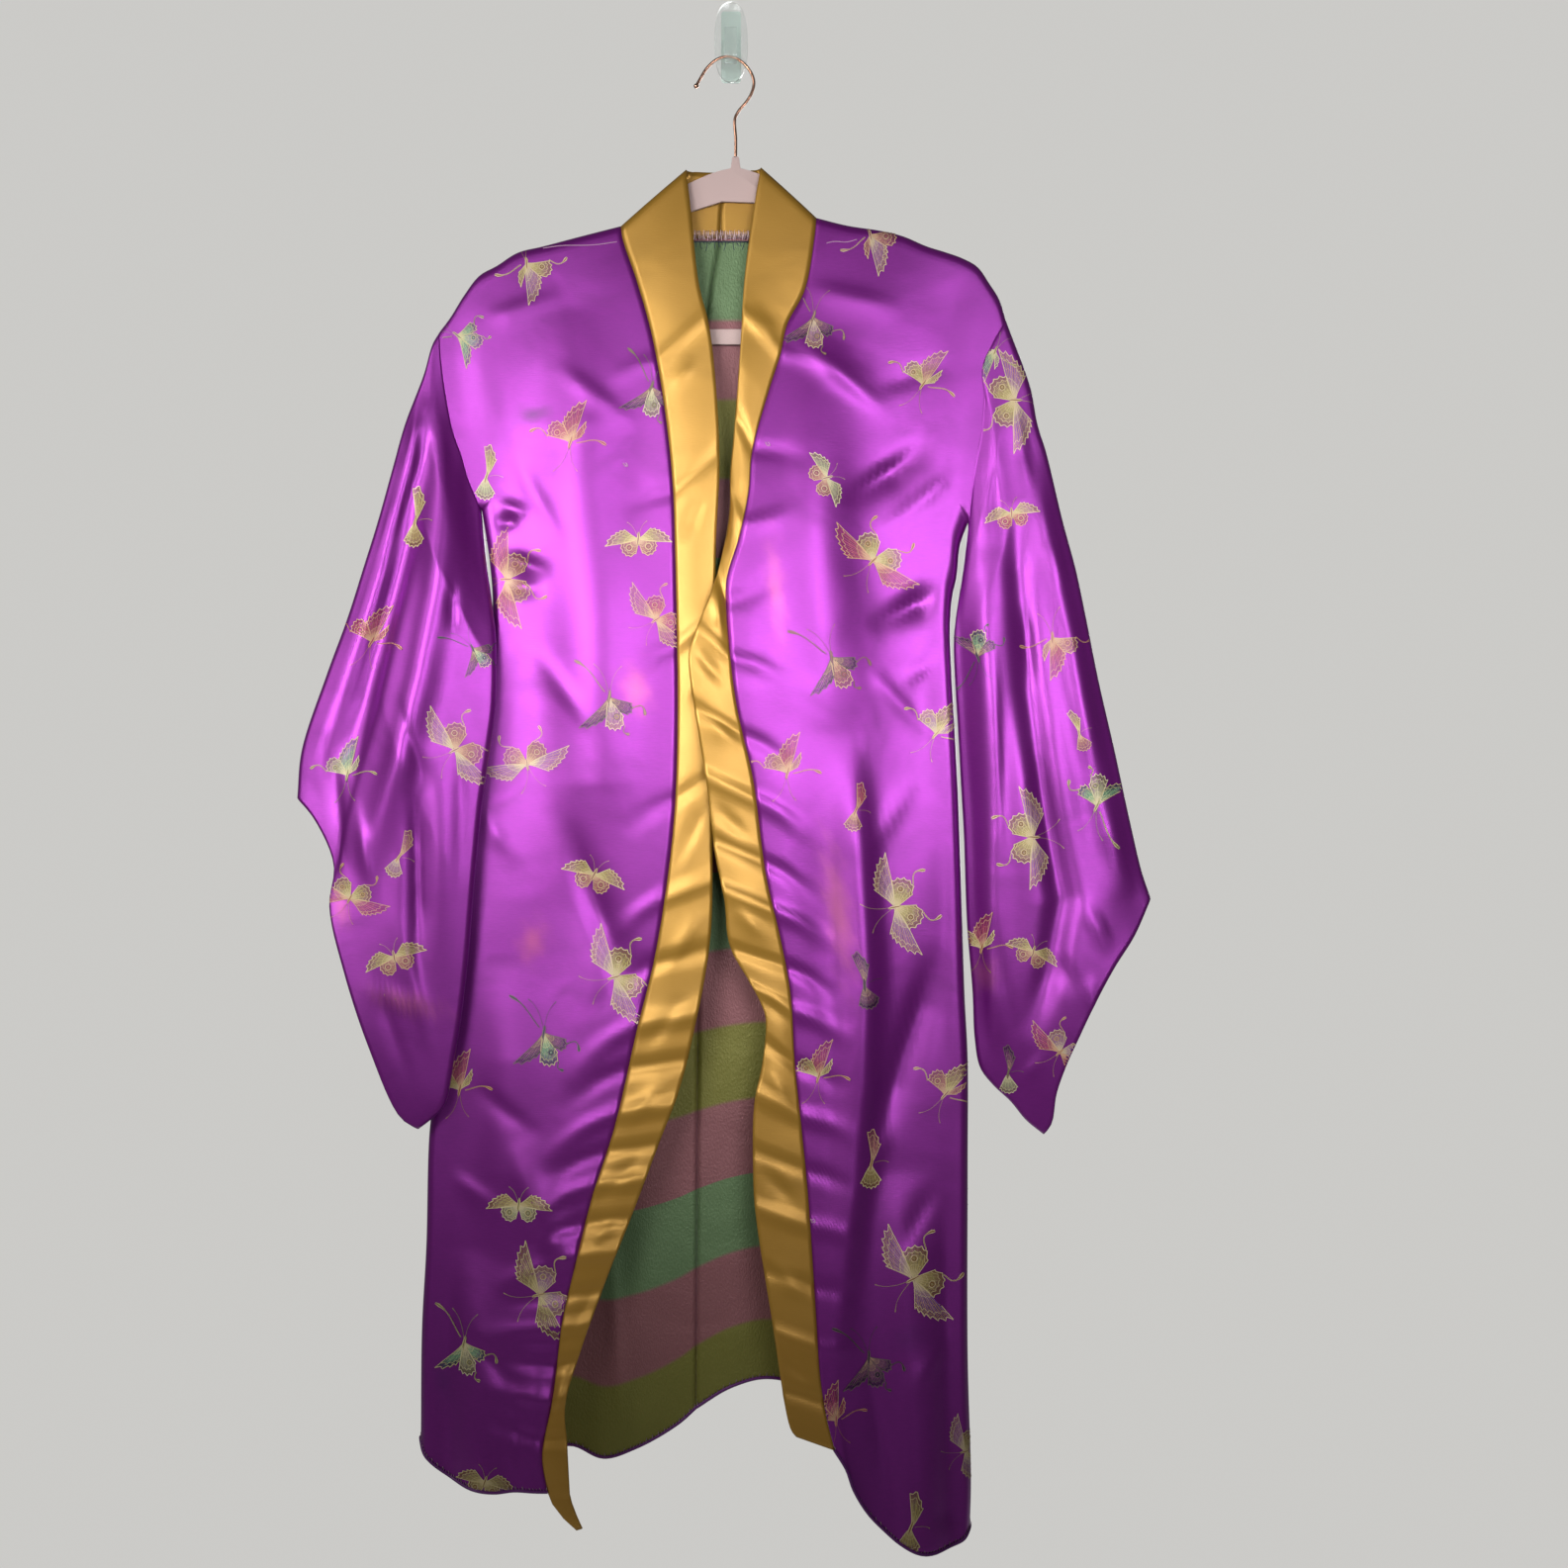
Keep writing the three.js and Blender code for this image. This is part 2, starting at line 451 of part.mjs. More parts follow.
// A sleeve: rings from the armhole to the cuff, each flat with round edges and some fullness.
function sleeve(plan, armhole) {
  const { half } = plan;
  const { loop, outward: rimOutward, last } = armhole;
  const side = Math.sign(half.side[0].x);
  const outer = edge(half.sleeveOuter);
  const inner = edge(half.sleeveInner);
  const cuff = edge(half.cuff);
  const armholeFront = loop.slice(0, last + 1);
  const armholeLength = edge(half.armhole).getLength();
  const steps = stations(armholeLength, underarmRows, true);
  const grid = [];
  for (let i = 0; i <= sleeveRings; i += 1) {
    const t = i / sleeveRings;
    const radius = THREE.MathUtils.lerp(edgeRadius, sleeveEdgeRadius, smooth(t * 4));
    const [a, b] = [outer.getPointAt(t), inner.getPointAt(t)];
    const width = a.distanceTo(b);
    const scale = radius / edgeRadius;
    const section = steps.map((step, k) => {
      const fromEnd = Math.min(step, armholeLength - step);
      const near = step <= armholeLength / 2;
      if (fromEnd <= edgeRadius + 1e-6) {
        const place = (fromEnd * scale) / width;
        return { s: near ? place : 1 - place, turn: roundTurn(fromEnd), k };
      }
      const even = (step - edgeRadius) / (armholeLength - 2 * edgeRadius);
      const margin = radius / width;
      return { s: margin + even * (1 - 2 * margin), turn: 1, k };
    });
    const hang = (column) => lookUp(half.sleeveHang, 't', t, column);
    const ring = section.map(({ s, turn, k }) => {
      const point = new THREE.Vector3().lerpVectors(a, b, s);
      const first = new THREE.Vector3().lerpVectors(
        armholeFront[0], armholeFront[last], steps[k] / armholeLength);
      const bendTop = armholeFront[k].clone().setY(0).sub(first.setY(0));
      const cuffPoint = cuff.getPointAt(s);
      const bendCuff = cuffPoint.sub(
        new THREE.Vector3().lerpVectors(outer.getPointAt(1), inner.getPointAt(1), s));
      point.addScaledVector(bendTop, 1 - t).addScaledVector(bendCuff, t);
      const middle = THREE.MathUtils.lerp(hang('outer'), hang('inner'), smooth(s));
      const near = smooth((Math.min(s, 1 - s) * width) / foldFade.sleeve);
      return { point, turn, middle, full: Math.sin(Math.PI * s), near };
    });
    const wallPoint = ({ point, turn, middle, full, near }, facing) => {
      const folds = facing < 0 ? half.sleeveFrontFolds : half.sleeveBackFolds;
      const fullness = hang(facing < 0 ? 'front' : 'back') * full;
      const fold = foldLift(folds, point.x, point.z) * near * smooth(t * 6);
      return point.clone().setY(middle + facing * (radius * turn + fullness + fold));
    };
    const front = ring.map((place) => wallPoint(place, -1));
    const back = ring.slice(1, last).reverse().map((place) => wallPoint(place, 1));
    grid.push([...front, ...back]);
  }
  grid[0] = loop.map((point) => point.clone());
  grid[0].forEach((point) => { point.x += side * seamGap; });
  const outward = directions(grid, -1, true);
  outward[0] = rimOutward;
  return { grid, outward };
}

// Half of the collar band: from the centre back of the neck, folded over the shoulder, and down
// the front beyond the hem. Its first column lies along the seams of the back and of the front.
function band(plan, front, back) {
  const { half, rows } = plan;
  const side = Math.sign(half.side[0].x);
  const topCurve = edge(half.neckTop);
  const freePoints = matchRows(edge(half.bandFree), rows);
  const lines = [];
  for (let j = neckSteps.length; j >= 1; j -= 1) {
    const seam = back.grid[0][back.ridge + j].clone();
    const free = topCurve.getPointAt(neckSteps[j - 1]);
    free.setY(hangDepth + edgeRadius * roundTurn(topCurve.getLength() * neckSteps[j - 1]));
    seam.z += seamGap;
    if (j === neckSteps.length) {
      seam.x += (side * seamGap) / 2;
      free.x += (side * seamGap) / 2;
    }
    lines.push({ seam, free, seamOutward: back.outward[0][back.ridge + j] });
  }
  front.grid.forEach((line, i) => {
    const seam = line[line.length - 1].clone();
    const across = seam.clone().sub(line[line.length - 2]).setY(0).normalize();
    if (i === 0) seam.setY(hangDepth).add(new THREE.Vector3(0, 0, seamGap));
    seam.addScaledVector(across, seamGap);
    const stand = lookUp(half.bandStand, 'z', freePoints[i].z, 'out');
    const free = freePoints[i].clone().setY(seam.y - stand);
    lines.push({ seam, free, seamOutward: front.outward[i][line.length - 1] });
  });
  const seamDepth = lines[lines.length - 1].seam.y;
  half.bandTail.forEach(({ seamX, seamZ, freeX, freeZ }) => {
    const seam = new THREE.Vector3(seamX, seamDepth, seamZ);
    lines.push({ seam, free: new THREE.Vector3(freeX, seamDepth - tailStand, freeZ) });
  });
  const grid = lines.map(({ seam, free }) => Array.from({ length: bandColumns }, (_, k) => {
    const w = k / (bandColumns - 1);
    return new THREE.Vector3().lerpVectors(seam, free, w);
  }));
  const outward = directions(grid, -1);
  lines.forEach(({ seamOutward }, i) => {
    if (seamOutward) outward[i][0].copy(seamOutward);
  });
  return { grid, outward };
}

// An upright plate: an outline in the XZ plane, with its thickness along Y, centred on a depth.
function plate(shape, thick, depth, curveSegments = 6) {
  const options = { depth: thick, bevelEnabled: false, curveSegments };
  const geometry = new THREE.ExtrudeGeometry(shape, options);
  geometry.rotateX(Math.PI / 2);
  geometry.translate(0, depth + thick / 2, 0);
  return geometry;
}

const hangerOutline = {
  nub: table('x z', [
    [-9, -121.5], [0, -119.5], [1.5, -109], [7.5, -109], [9, -119.5], [17, -121.5],
  ]),
  leftNeck: table('x z', [[-98, -178.5], [-70, -157], [-38, -133], [-20, -125]]),
  rightNeck: table('x z', [[26, -124.5], [40, -137.5], [60, -156], [80, -173.5], [92, -175]]),
  rightEnd: table('x z', [[222, -215], [231, -228], [232, -248], [222, -270], [204, -281.5]]),
  leftEnd: table('x z', [[-195, -281.5], [-213, -270], [-223, -248], [-222, -230], [-218, -219]]),
  gap: table('x z', [
    [-8, -150], [-36, -159], [-70, -178], [-98, -197], [-140, -204], [-172, -210], [-192, -217],
    [-206, -230], [-206, -252], [-195, -267.5], [204, -267.5], [215, -252], [215, -230], [201, -217],
    [181, -210], [149, -204], [107, -197], [79, -178], [45, -159], [22, -151],
  ]),
};
const shoulderSeat = { from: 105, to: 212 }; // where the arms carry the shoulders

// The hanger: arms that follow the shoulders from inside, round ends and a straight lower bar.
function hanger(seats) {
  const innerTurn = edgeRadius - clothWall;
  const sag = innerTurn - Math.sqrt(innerTurn ** 2 - (hangerThick / 2) ** 2);
  const [leftSeat, rightSeat] = seats.map(({ grid, outward }) => grid[0]
    .map((point, j) => point.clone().addScaledVector(outward[0][j], -clothWall - seamGap - sag))
    .filter(({ x }) => Math.abs(x) > shoulderSeat.from && Math.abs(x) < shoulderSeat.to));
  rightSeat.reverse();
  const outline = [
    ...leftSeat, ...hangerOutline.leftNeck, ...hangerOutline.nub, ...hangerOutline.rightNeck,
    ...rightSeat, ...hangerOutline.rightEnd, ...hangerOutline.leftEnd,
  ];
  const shape = new THREE.Shape(outline.map(({ x, z }) => new THREE.Vector2(x, z)));
  shape.holes.push(new THREE.Path(hangerOutline.gap.map(({ x, z }) => new THREE.Vector2(x, z))));
  return plate(shape, hangerThick, hangDepth);
}

// The wire hook, a round wire from the hanger's nub up over the wall hook.
const wireRoute = table('x z', [
  [4.5, -108.7], [4.6, -92], [3.8, -74], [7, -66.9], [14.5, -57.8], [19.3, -49.7], [21.3, -40.6],
  [19.3, -32.5], [12.8, -23.4], [4.6, -17.9], [-4.5, -16.3], [-13.6, -19.4], [-22, -27],
  [-28, -36.6], [-33, -45.5],
]);
const wireSteps = 34;

function hookWire() {
  const section = new THREE.Shape();
  section.absarc(0, 0, wireRadius, 0, 2 * Math.PI, false);
  const route = new THREE.CatmullRomCurve3(
    wireRoute.map(({ x, z }) => new THREE.Vector3(x, hangDepth, z)), false, 'centripetal');
  return new THREE.ExtrudeGeometry(section, {
    extrudePath: route, steps: wireSteps, bevelEnabled: false, curveSegments: 5,
  });
}

// The wall hook: an oval plate with a J that holds the wire.
const oval = { width: 31, height: 74, thick: 3.5, depth: -3.25, power: 2.4, points: 32 };
const trough = {
  z: -14.8, inner: 5, thick: 3, tipZ: 8, rootZ: 3, footZ: -27, sunk: 1, corner: 3, drop: 2,
  turnEnd: 1.6 * Math.PI,
};

function solidOf(wasm, geometry) {
  geometry.deleteAttribute('normal');
  geometry.deleteAttribute('uv');
  const merged = mergeVertices(geometry, 1e-4);
  return new wasm.Manifold(new wasm.Mesh({
    numProp: 3,
    vertProperties: new Float32Array(merged.attributes.position.array),
    triVerts: new Uint32Array(merged.index.array),
  }));
}

function geometryOf(solid) {
  const mesh = solid.getMesh();
  const geometry = new THREE.BufferGeometry();
  const positions = new THREE.BufferAttribute(new Float32Array(mesh.vertProperties), 3);
  geometry.setAttribute('position', positions);
  geometry.setIndex(new THREE.BufferAttribute(new Uint32Array(mesh.triVerts), 1));
  geometry.computeVertexNormals();
  return geometry;
}

function wallHook(wasm) {
  const round = Array.from({ length: oval.points }, (_, k) => {
    const angle = (k / oval.points) * 2 * Math.PI;
    const bulge = (value) => Math.sign(value) * Math.abs(value) ** (2 / oval.power);
    return new THREE.Vector2(
      (oval.width / 2) * bulge(Math.cos(angle)), (oval.height / 2) * bulge(Math.sin(angle)));
  });
  const face = plate(new THREE.Shape(round), oval.thick, oval.depth);
  const root = oval.depth - oval.thick / 2 + trough.sunk;
  const outerRadius = trough.inner + trough.thick;
  const profile = new THREE.Shape();
  profile.moveTo(root, trough.footZ);
  profile.lineTo(root, trough.rootZ);
  profile.lineTo(root - trough.corner, trough.rootZ - trough.drop);
  profile.lineTo(hangDepth + trough.inner, trough.z + trough.corner);
  profile.lineTo(hangDepth + trough.inner, trough.z);
  profile.absarc(hangDepth, trough.z, trough.inner, 0, -Math.PI, true);
  profile.lineTo(hangDepth - trough.inner, trough.tipZ);
  profile.absarc(
    hangDepth - trough.inner - trough.thick / 2, trough.tipZ, trough.thick / 2, 0, Math.PI, false);
  profile.lineTo(hangDepth - outerRadius, trough.z);
  profile.absarc(hangDepth, trough.z, outerRadius, Math.PI, trough.turnEnd, false);
  profile.closePath();
  const options = { depth: hookWidth, bevelEnabled: false, curveSegments: 8 };
  const hook = new THREE.ExtrudeGeometry(profile, options);
  hook.translate(0, 0, -hookWidth / 2);
  // The profile's own axes are depth, height and width: they turn to Y, Z and X.
  hook.applyMatrix4(new THREE.Matrix4().set(0, 0, 1, 0, 1, 0, 0, 0, 0, 1, 0, 0, 0, 0, 0, 1));
  return geometryOf(solidOf(wasm, face).add(solidOf(wasm, hook)));
}

// The adhesive strip: its back is the face that meets the wall.
const strip = { width: 18, bottom: -37, top: 29, thick: 1.2, corner: 3 };

function adhesiveStrip() {
  const { width, bottom, top, corner } = strip;
  const shape = new THREE.Shape();
  shape.absarc(width / 2 - corner, top - corner, corner, 0, Math.PI / 2, false);
  shape.absarc(corner - width / 2, top - corner, corner, Math.PI / 2, Math.PI, false);
  shape.absarc(corner - width / 2, bottom + corner, corner, Math.PI, 1.5 * Math.PI, false);
  shape.absarc(width / 2 - corner, bottom + corner, corner, 1.5 * Math.PI, 2 * Math.PI, false);
  shape.closePath();
  return plate(shape, strip.thick, -strip.thick / 2);
}

const finishes = {
  satin: new THREE.MeshStandardMaterial({ color: 0x9a2fb8, roughness: 0.42 }),
  gold: new THREE.MeshStandardMaterial({ color: 0xc08e33, roughness: 0.4 }),
  flock: new THREE.MeshStandardMaterial({ color: 0xd6bdbb, roughness: 0.95 }),
  wire: new THREE.MeshStandardMaterial({ color: 0xc08a70, roughness: 0.3, metalness: 1 }),
  clear: new THREE.MeshStandardMaterial({
    color: 0xe8eeec, roughness: 0.15, transparent: true, opacity: 0.5,
  }),
  mint: new THREE.MeshStandardMaterial({ color: 0xcbe6da, roughness: 0.8 }),
};

const wasm = await Module();
wasm.setup();

const robe = new THREE.Group();

function place(name, geometry, finish) {
  const mesh = new THREE.Mesh(geometry, finishes[finish]);
  mesh.name = name;
  robe.add(mesh);
}

const fronts = [];
for (const half of [left, right]) {
  const plan = layOut(half);
  const front = panel(plan, false);
  const back = panel(plan, true);
  const armhole = armholeLoop(front, back);
  const side = Math.sign(half.side[0].x);
  back.grid.forEach((line) => { line[line.length - 1].x += (side * seamGap) / 2; });
  const arm = sleeve(plan, armhole);
  const collar = band(plan, front, back);
  fronts.push(front);
  place(`front_${half.name}`, wallOf(front.grid, front.outward, clothWall), 'satin');
  place(`back_${half.name}`, wallOf(back.grid, back.outward, clothWall), 'satin');
  place(`sleeve_${half.name}`, wallOf(arm.grid, arm.outward, clothWall, true), 'satin');
  place(`band_${half.name}`, wallOf(collar.grid, collar.outward, bandWall), 'gold');
}
place('hanger', hanger(fronts), 'flock');
place('hook_wire', hookWire(), 'wire');
place('wall_hook', wallHook(wasm), 'clear');
place('adhesive_strip', adhesiveStrip(), 'mint');

export default robe;
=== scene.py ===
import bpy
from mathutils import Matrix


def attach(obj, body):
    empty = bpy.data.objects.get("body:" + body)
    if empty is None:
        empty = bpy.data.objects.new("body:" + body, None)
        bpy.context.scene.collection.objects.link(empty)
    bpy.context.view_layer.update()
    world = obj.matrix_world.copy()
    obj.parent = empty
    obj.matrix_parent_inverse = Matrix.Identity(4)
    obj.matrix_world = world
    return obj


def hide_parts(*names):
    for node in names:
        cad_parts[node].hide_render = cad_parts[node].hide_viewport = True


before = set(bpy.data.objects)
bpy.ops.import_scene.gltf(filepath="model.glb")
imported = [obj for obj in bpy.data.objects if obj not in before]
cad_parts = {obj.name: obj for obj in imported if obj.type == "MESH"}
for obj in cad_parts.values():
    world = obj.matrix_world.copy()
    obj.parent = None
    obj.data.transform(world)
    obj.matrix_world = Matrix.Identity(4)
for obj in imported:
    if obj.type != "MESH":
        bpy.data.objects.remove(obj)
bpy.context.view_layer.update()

import bpy
import numpy as np
from mathutils import Vector
from mathutils.bvhtree import BVHTree

# Outlines and folds are in millimetres, as seen from the front: x to the right, z up.
# The wall is y = 0 and the robe hangs in front of it, towards -y.
# hangDepth is the y between front and back, edgeTurn and sleeveTurn the radii of their round
# edges, cloth and bandCloth thicknesses, gap the space between neighbours. Folds begin
# foldStart from the side and sleeveStart from a sleeve's edges, and reach their full size
# topReach below the shoulder. The rest are counts of rows and columns.
robe = {
    "hangDepth": -16.0, "edgeTurn": 8.0, "sleeveTurn": 5.5, "cloth": 0.9, "bandCloth": 2.0,
    "gap": 0.04, "turnSteps": 7, "armholeRows": 36, "sideRows": 190, "shoulderColumns": 40,
    "neckColumns": 22, "sleeveRings": 128, "bandColumns": 13, "topReach": 60, "foldStart": 25,
    "sleeveStart": 30, "neckSpacing": 1.5, "creasePower": 1.6,
}

left = {
    "name": "left",
    "shoulder": [(-267, -269), (-258, -257), (-245, -236), (-231, -218), (-215, -209), (-196, -197),
                 (-172, -191), (-140, -182.5), (-101, -172.5)],
    "neck": [(-101, -172.5), (-60, -180), (-30, -182), (-10, -182)],
    "armhole": [(-267, -269), (-266, -292), (-263, -318), (-255, -361), (-247, -384), (-241, -405),
                (-229, -434)],
    "side": [(-229, -434), (-222, -480), (-219, -520), (-223, -580), (-233, -670), (-246, -770),
             (-259, -870), (-271, -960), (-277, -1005), (-280, -1110), (-284, -1186),
             (-285, -1287)],
    "centreBack": [(-10, -182), (-28, -300), (-30, -700), (-32, -1262)],
    "bandSeam": [(-101, -172.5), (-99, -186), (-86, -225), (-72, -275), (-61, -337), (-53, -408),
                 (-50, -490), (-48, -618), (-50, -698), (-55, -755), (-68, -839), (-86, -914),
                 (-105, -997), (-126, -1063), (-139, -1116), (-152, -1172), (-161, -1244),
                 (-170, -1294), (-165, -1328)],
    "frontHem": [(-285, -1287), (-280, -1300), (-267, -1312), (-249, -1322), (-235, -1327),
                 (-213, -1329), (-194, -1327), (-165, -1328)],
    "backHem": [(-285, -1287), (-270, -1303), (-220, -1309), (-180, -1303), (-147, -1297),
                (-118, -1308), (-88, -1299), (-49, -1277), (-32, -1262)],
    "bandFree": [(-41, -120.5), (-37, -153), (-29, -227), (-19, -269), (-12, -337), (-10, -400),
                 (-13, -466), (-14, -560), (-15, -640), (-16, -720), (-18, -826), (-32, -907),
                 (-47, -966), (-66, -1016), (-87, -1072), (-109, -1127), (-134, -1196),
                 (-149, -1249), (-147, -1285), (-145, -1329)],
    # seam x z, free x z
    "bandTail": [(-161, -1338, -143, -1337), (-151, -1351, -139, -1348),
                 (-139, -1362, -134, -1360)],
    "bandStand": [(-172, 0), (-600, 1), (-1000, 3), (-1330, 3)],
    "neckTop": [(-41, -120.5), (-24, -121.5), (-8, -122)],
    # z, forward at the side, forward at the band seam
    "frontHang": [(-172, 0, 0), (-300, 0, 8), (-450, 0, 13), (-600, 1, 14), (-800, 2, 16),
                  (-1000, 3, 20), (-1330, 6, 24)],
    # fold, x z, lift, width on the fold's left and on its right, seen going down it: a soft
    # ridge where the lift is above 0, a trough where below
    "frontFolds": [
        (1, -150, -250, 0, 34, 34), (1, -138, -360, 7, 36, 34), (1, -130, -520, 9, 38, 36),
        (1, -122, -680, 7, 38, 38), (1, -116, -800, 0, 38, 38), (2, -158, -700, 0, 14, 18),
        (2, -130, -780, -4, 14, 18), (2, -100, -850, -5, 14, 18), (2, -88, -900, 0, 14, 18),
        (3, -196, -1010, 0, 12, 18), (3, -180, -1060, 5, 12, 18), (3, -158, -1105, 6, 12, 18),
        (3, -150, -1130, 0, 12, 18), (4, -205, -850, 0, 24, 28), (4, -202, -940, 5, 24, 28),
        (4, -206, -1040, 5, 24, 28), (4, -212, -1120, 0, 24, 28), (5, -178, -1190, 0, 14, 16),
        (5, -176, -1240, 5, 14, 16), (5, -178, -1290, 5, 14, 16), (5, -180, -1330, 3, 14, 16),
        (6, -236, -1110, 0, 22, 26), (6, -230, -1200, 7, 22, 26), (6, -226, -1300, 9, 22, 26),
        (6, -226, -1330, 9, 22, 26), (7, -262, -1080, 0, 12, 14), (7, -263, -1180, -4, 12, 14),
        (7, -262, -1320, -4, 12, 14)],
    "backFolds": [
        (1, -180, -420, 0, 26, 24), (1, -195, -600, -3, 26, 24), (1, -210, -900, -3, 26, 24),
        (1, -216, -1290, -3, 26, 24), (2, -115, -380, 0, 30, 28), (2, -128, -600, 4, 30, 28),
        (2, -140, -900, 4, 30, 28), (2, -142, -1290, 4, 30, 28), (3, -72, -520, 0, 20, 20),
        (3, -76, -700, -3, 20, 20), (3, -80, -1270, -3, 20, 20)],
    "sleeveOuter": [(-267, -269), (-274, -281), (-282, -309), (-299, -355), (-310, -395),
                    (-324, -446), (-336, -485), (-351, -533), (-370, -585), (-393, -655),
                    (-397, -698)],
    "sleeveInner": [(-229, -434), (-224, -481), (-217, -528), (-214, -554), (-214, -614),
                    (-219, -655), (-226, -704), (-233, -777), (-239, -849), (-245, -899),
                    (-251, -935), (-260, -978), (-271, -990), (-284, -1000)],
    "cuff": [(-397, -698), (-380, -718), (-361, -759), (-364, -797), (-350, -856), (-327, -925),
             (-300, -988), (-284, -1000)],
    # part of the length, middle plane at the outer and the inner edge, fullness front and back
    "sleeveHang": [(0, -16, -16, 0, 0), (0.12, -18, -26, 8, 6), (0.25, -21, -39, 12, 8),
                   (0.6, -25, -43, 15, 9), (1, -26, -41, 15, 8)],
    "sleeveFrontFolds": [
        (1, -283, -330, 0, 12, 13), (1, -290, -360, 5, 12, 13), (1, -305, -430, 6, 12, 13),
        (1, -320, -491, 6, 12, 13), (1, -346, -556, 6, 12, 13), (1, -372, -634, 5, 12, 13),
        (1, -384, -690, 0, 12, 13), (2, -276, -340, 0, 11, 12), (2, -281, -390, -6, 11, 12),
        (2, -292, -450, -7, 11, 12), (2, -309, -517, -7, 11, 12), (2, -333, -613, -7, 11, 12),
        (2, -350, -680, 0, 11, 12), (3, -257, -345, 0, 13, 16), (3, -256, -410, 6, 13, 16),
        (3, -268, -513, 7, 13, 16), (3, -281, -587, 8, 13, 16), (3, -300, -665, 8, 13, 16),
        (3, -335, -770, 0, 13, 16), (4, -282, -660, 0, 10, 14), (4, -283, -730, -6, 10, 14),
        (4, -282, -800, -6, 10, 14), (4, -281, -880, 0, 10, 14)],
    "sleeveBackFolds": [
        (1, -268, -370, 0, 16, 16), (1, -280, -450, -5, 16, 16), (1, -300, -560, -5, 16, 16),
        (1, -314, -680, 0, 16, 16), (2, -298, -520, 0, 18, 18), (2, -304, -620, 3, 18, 18),
        (2, -312, -740, 3, 18, 18), (2, -320, -880, 0, 18, 18)],
}

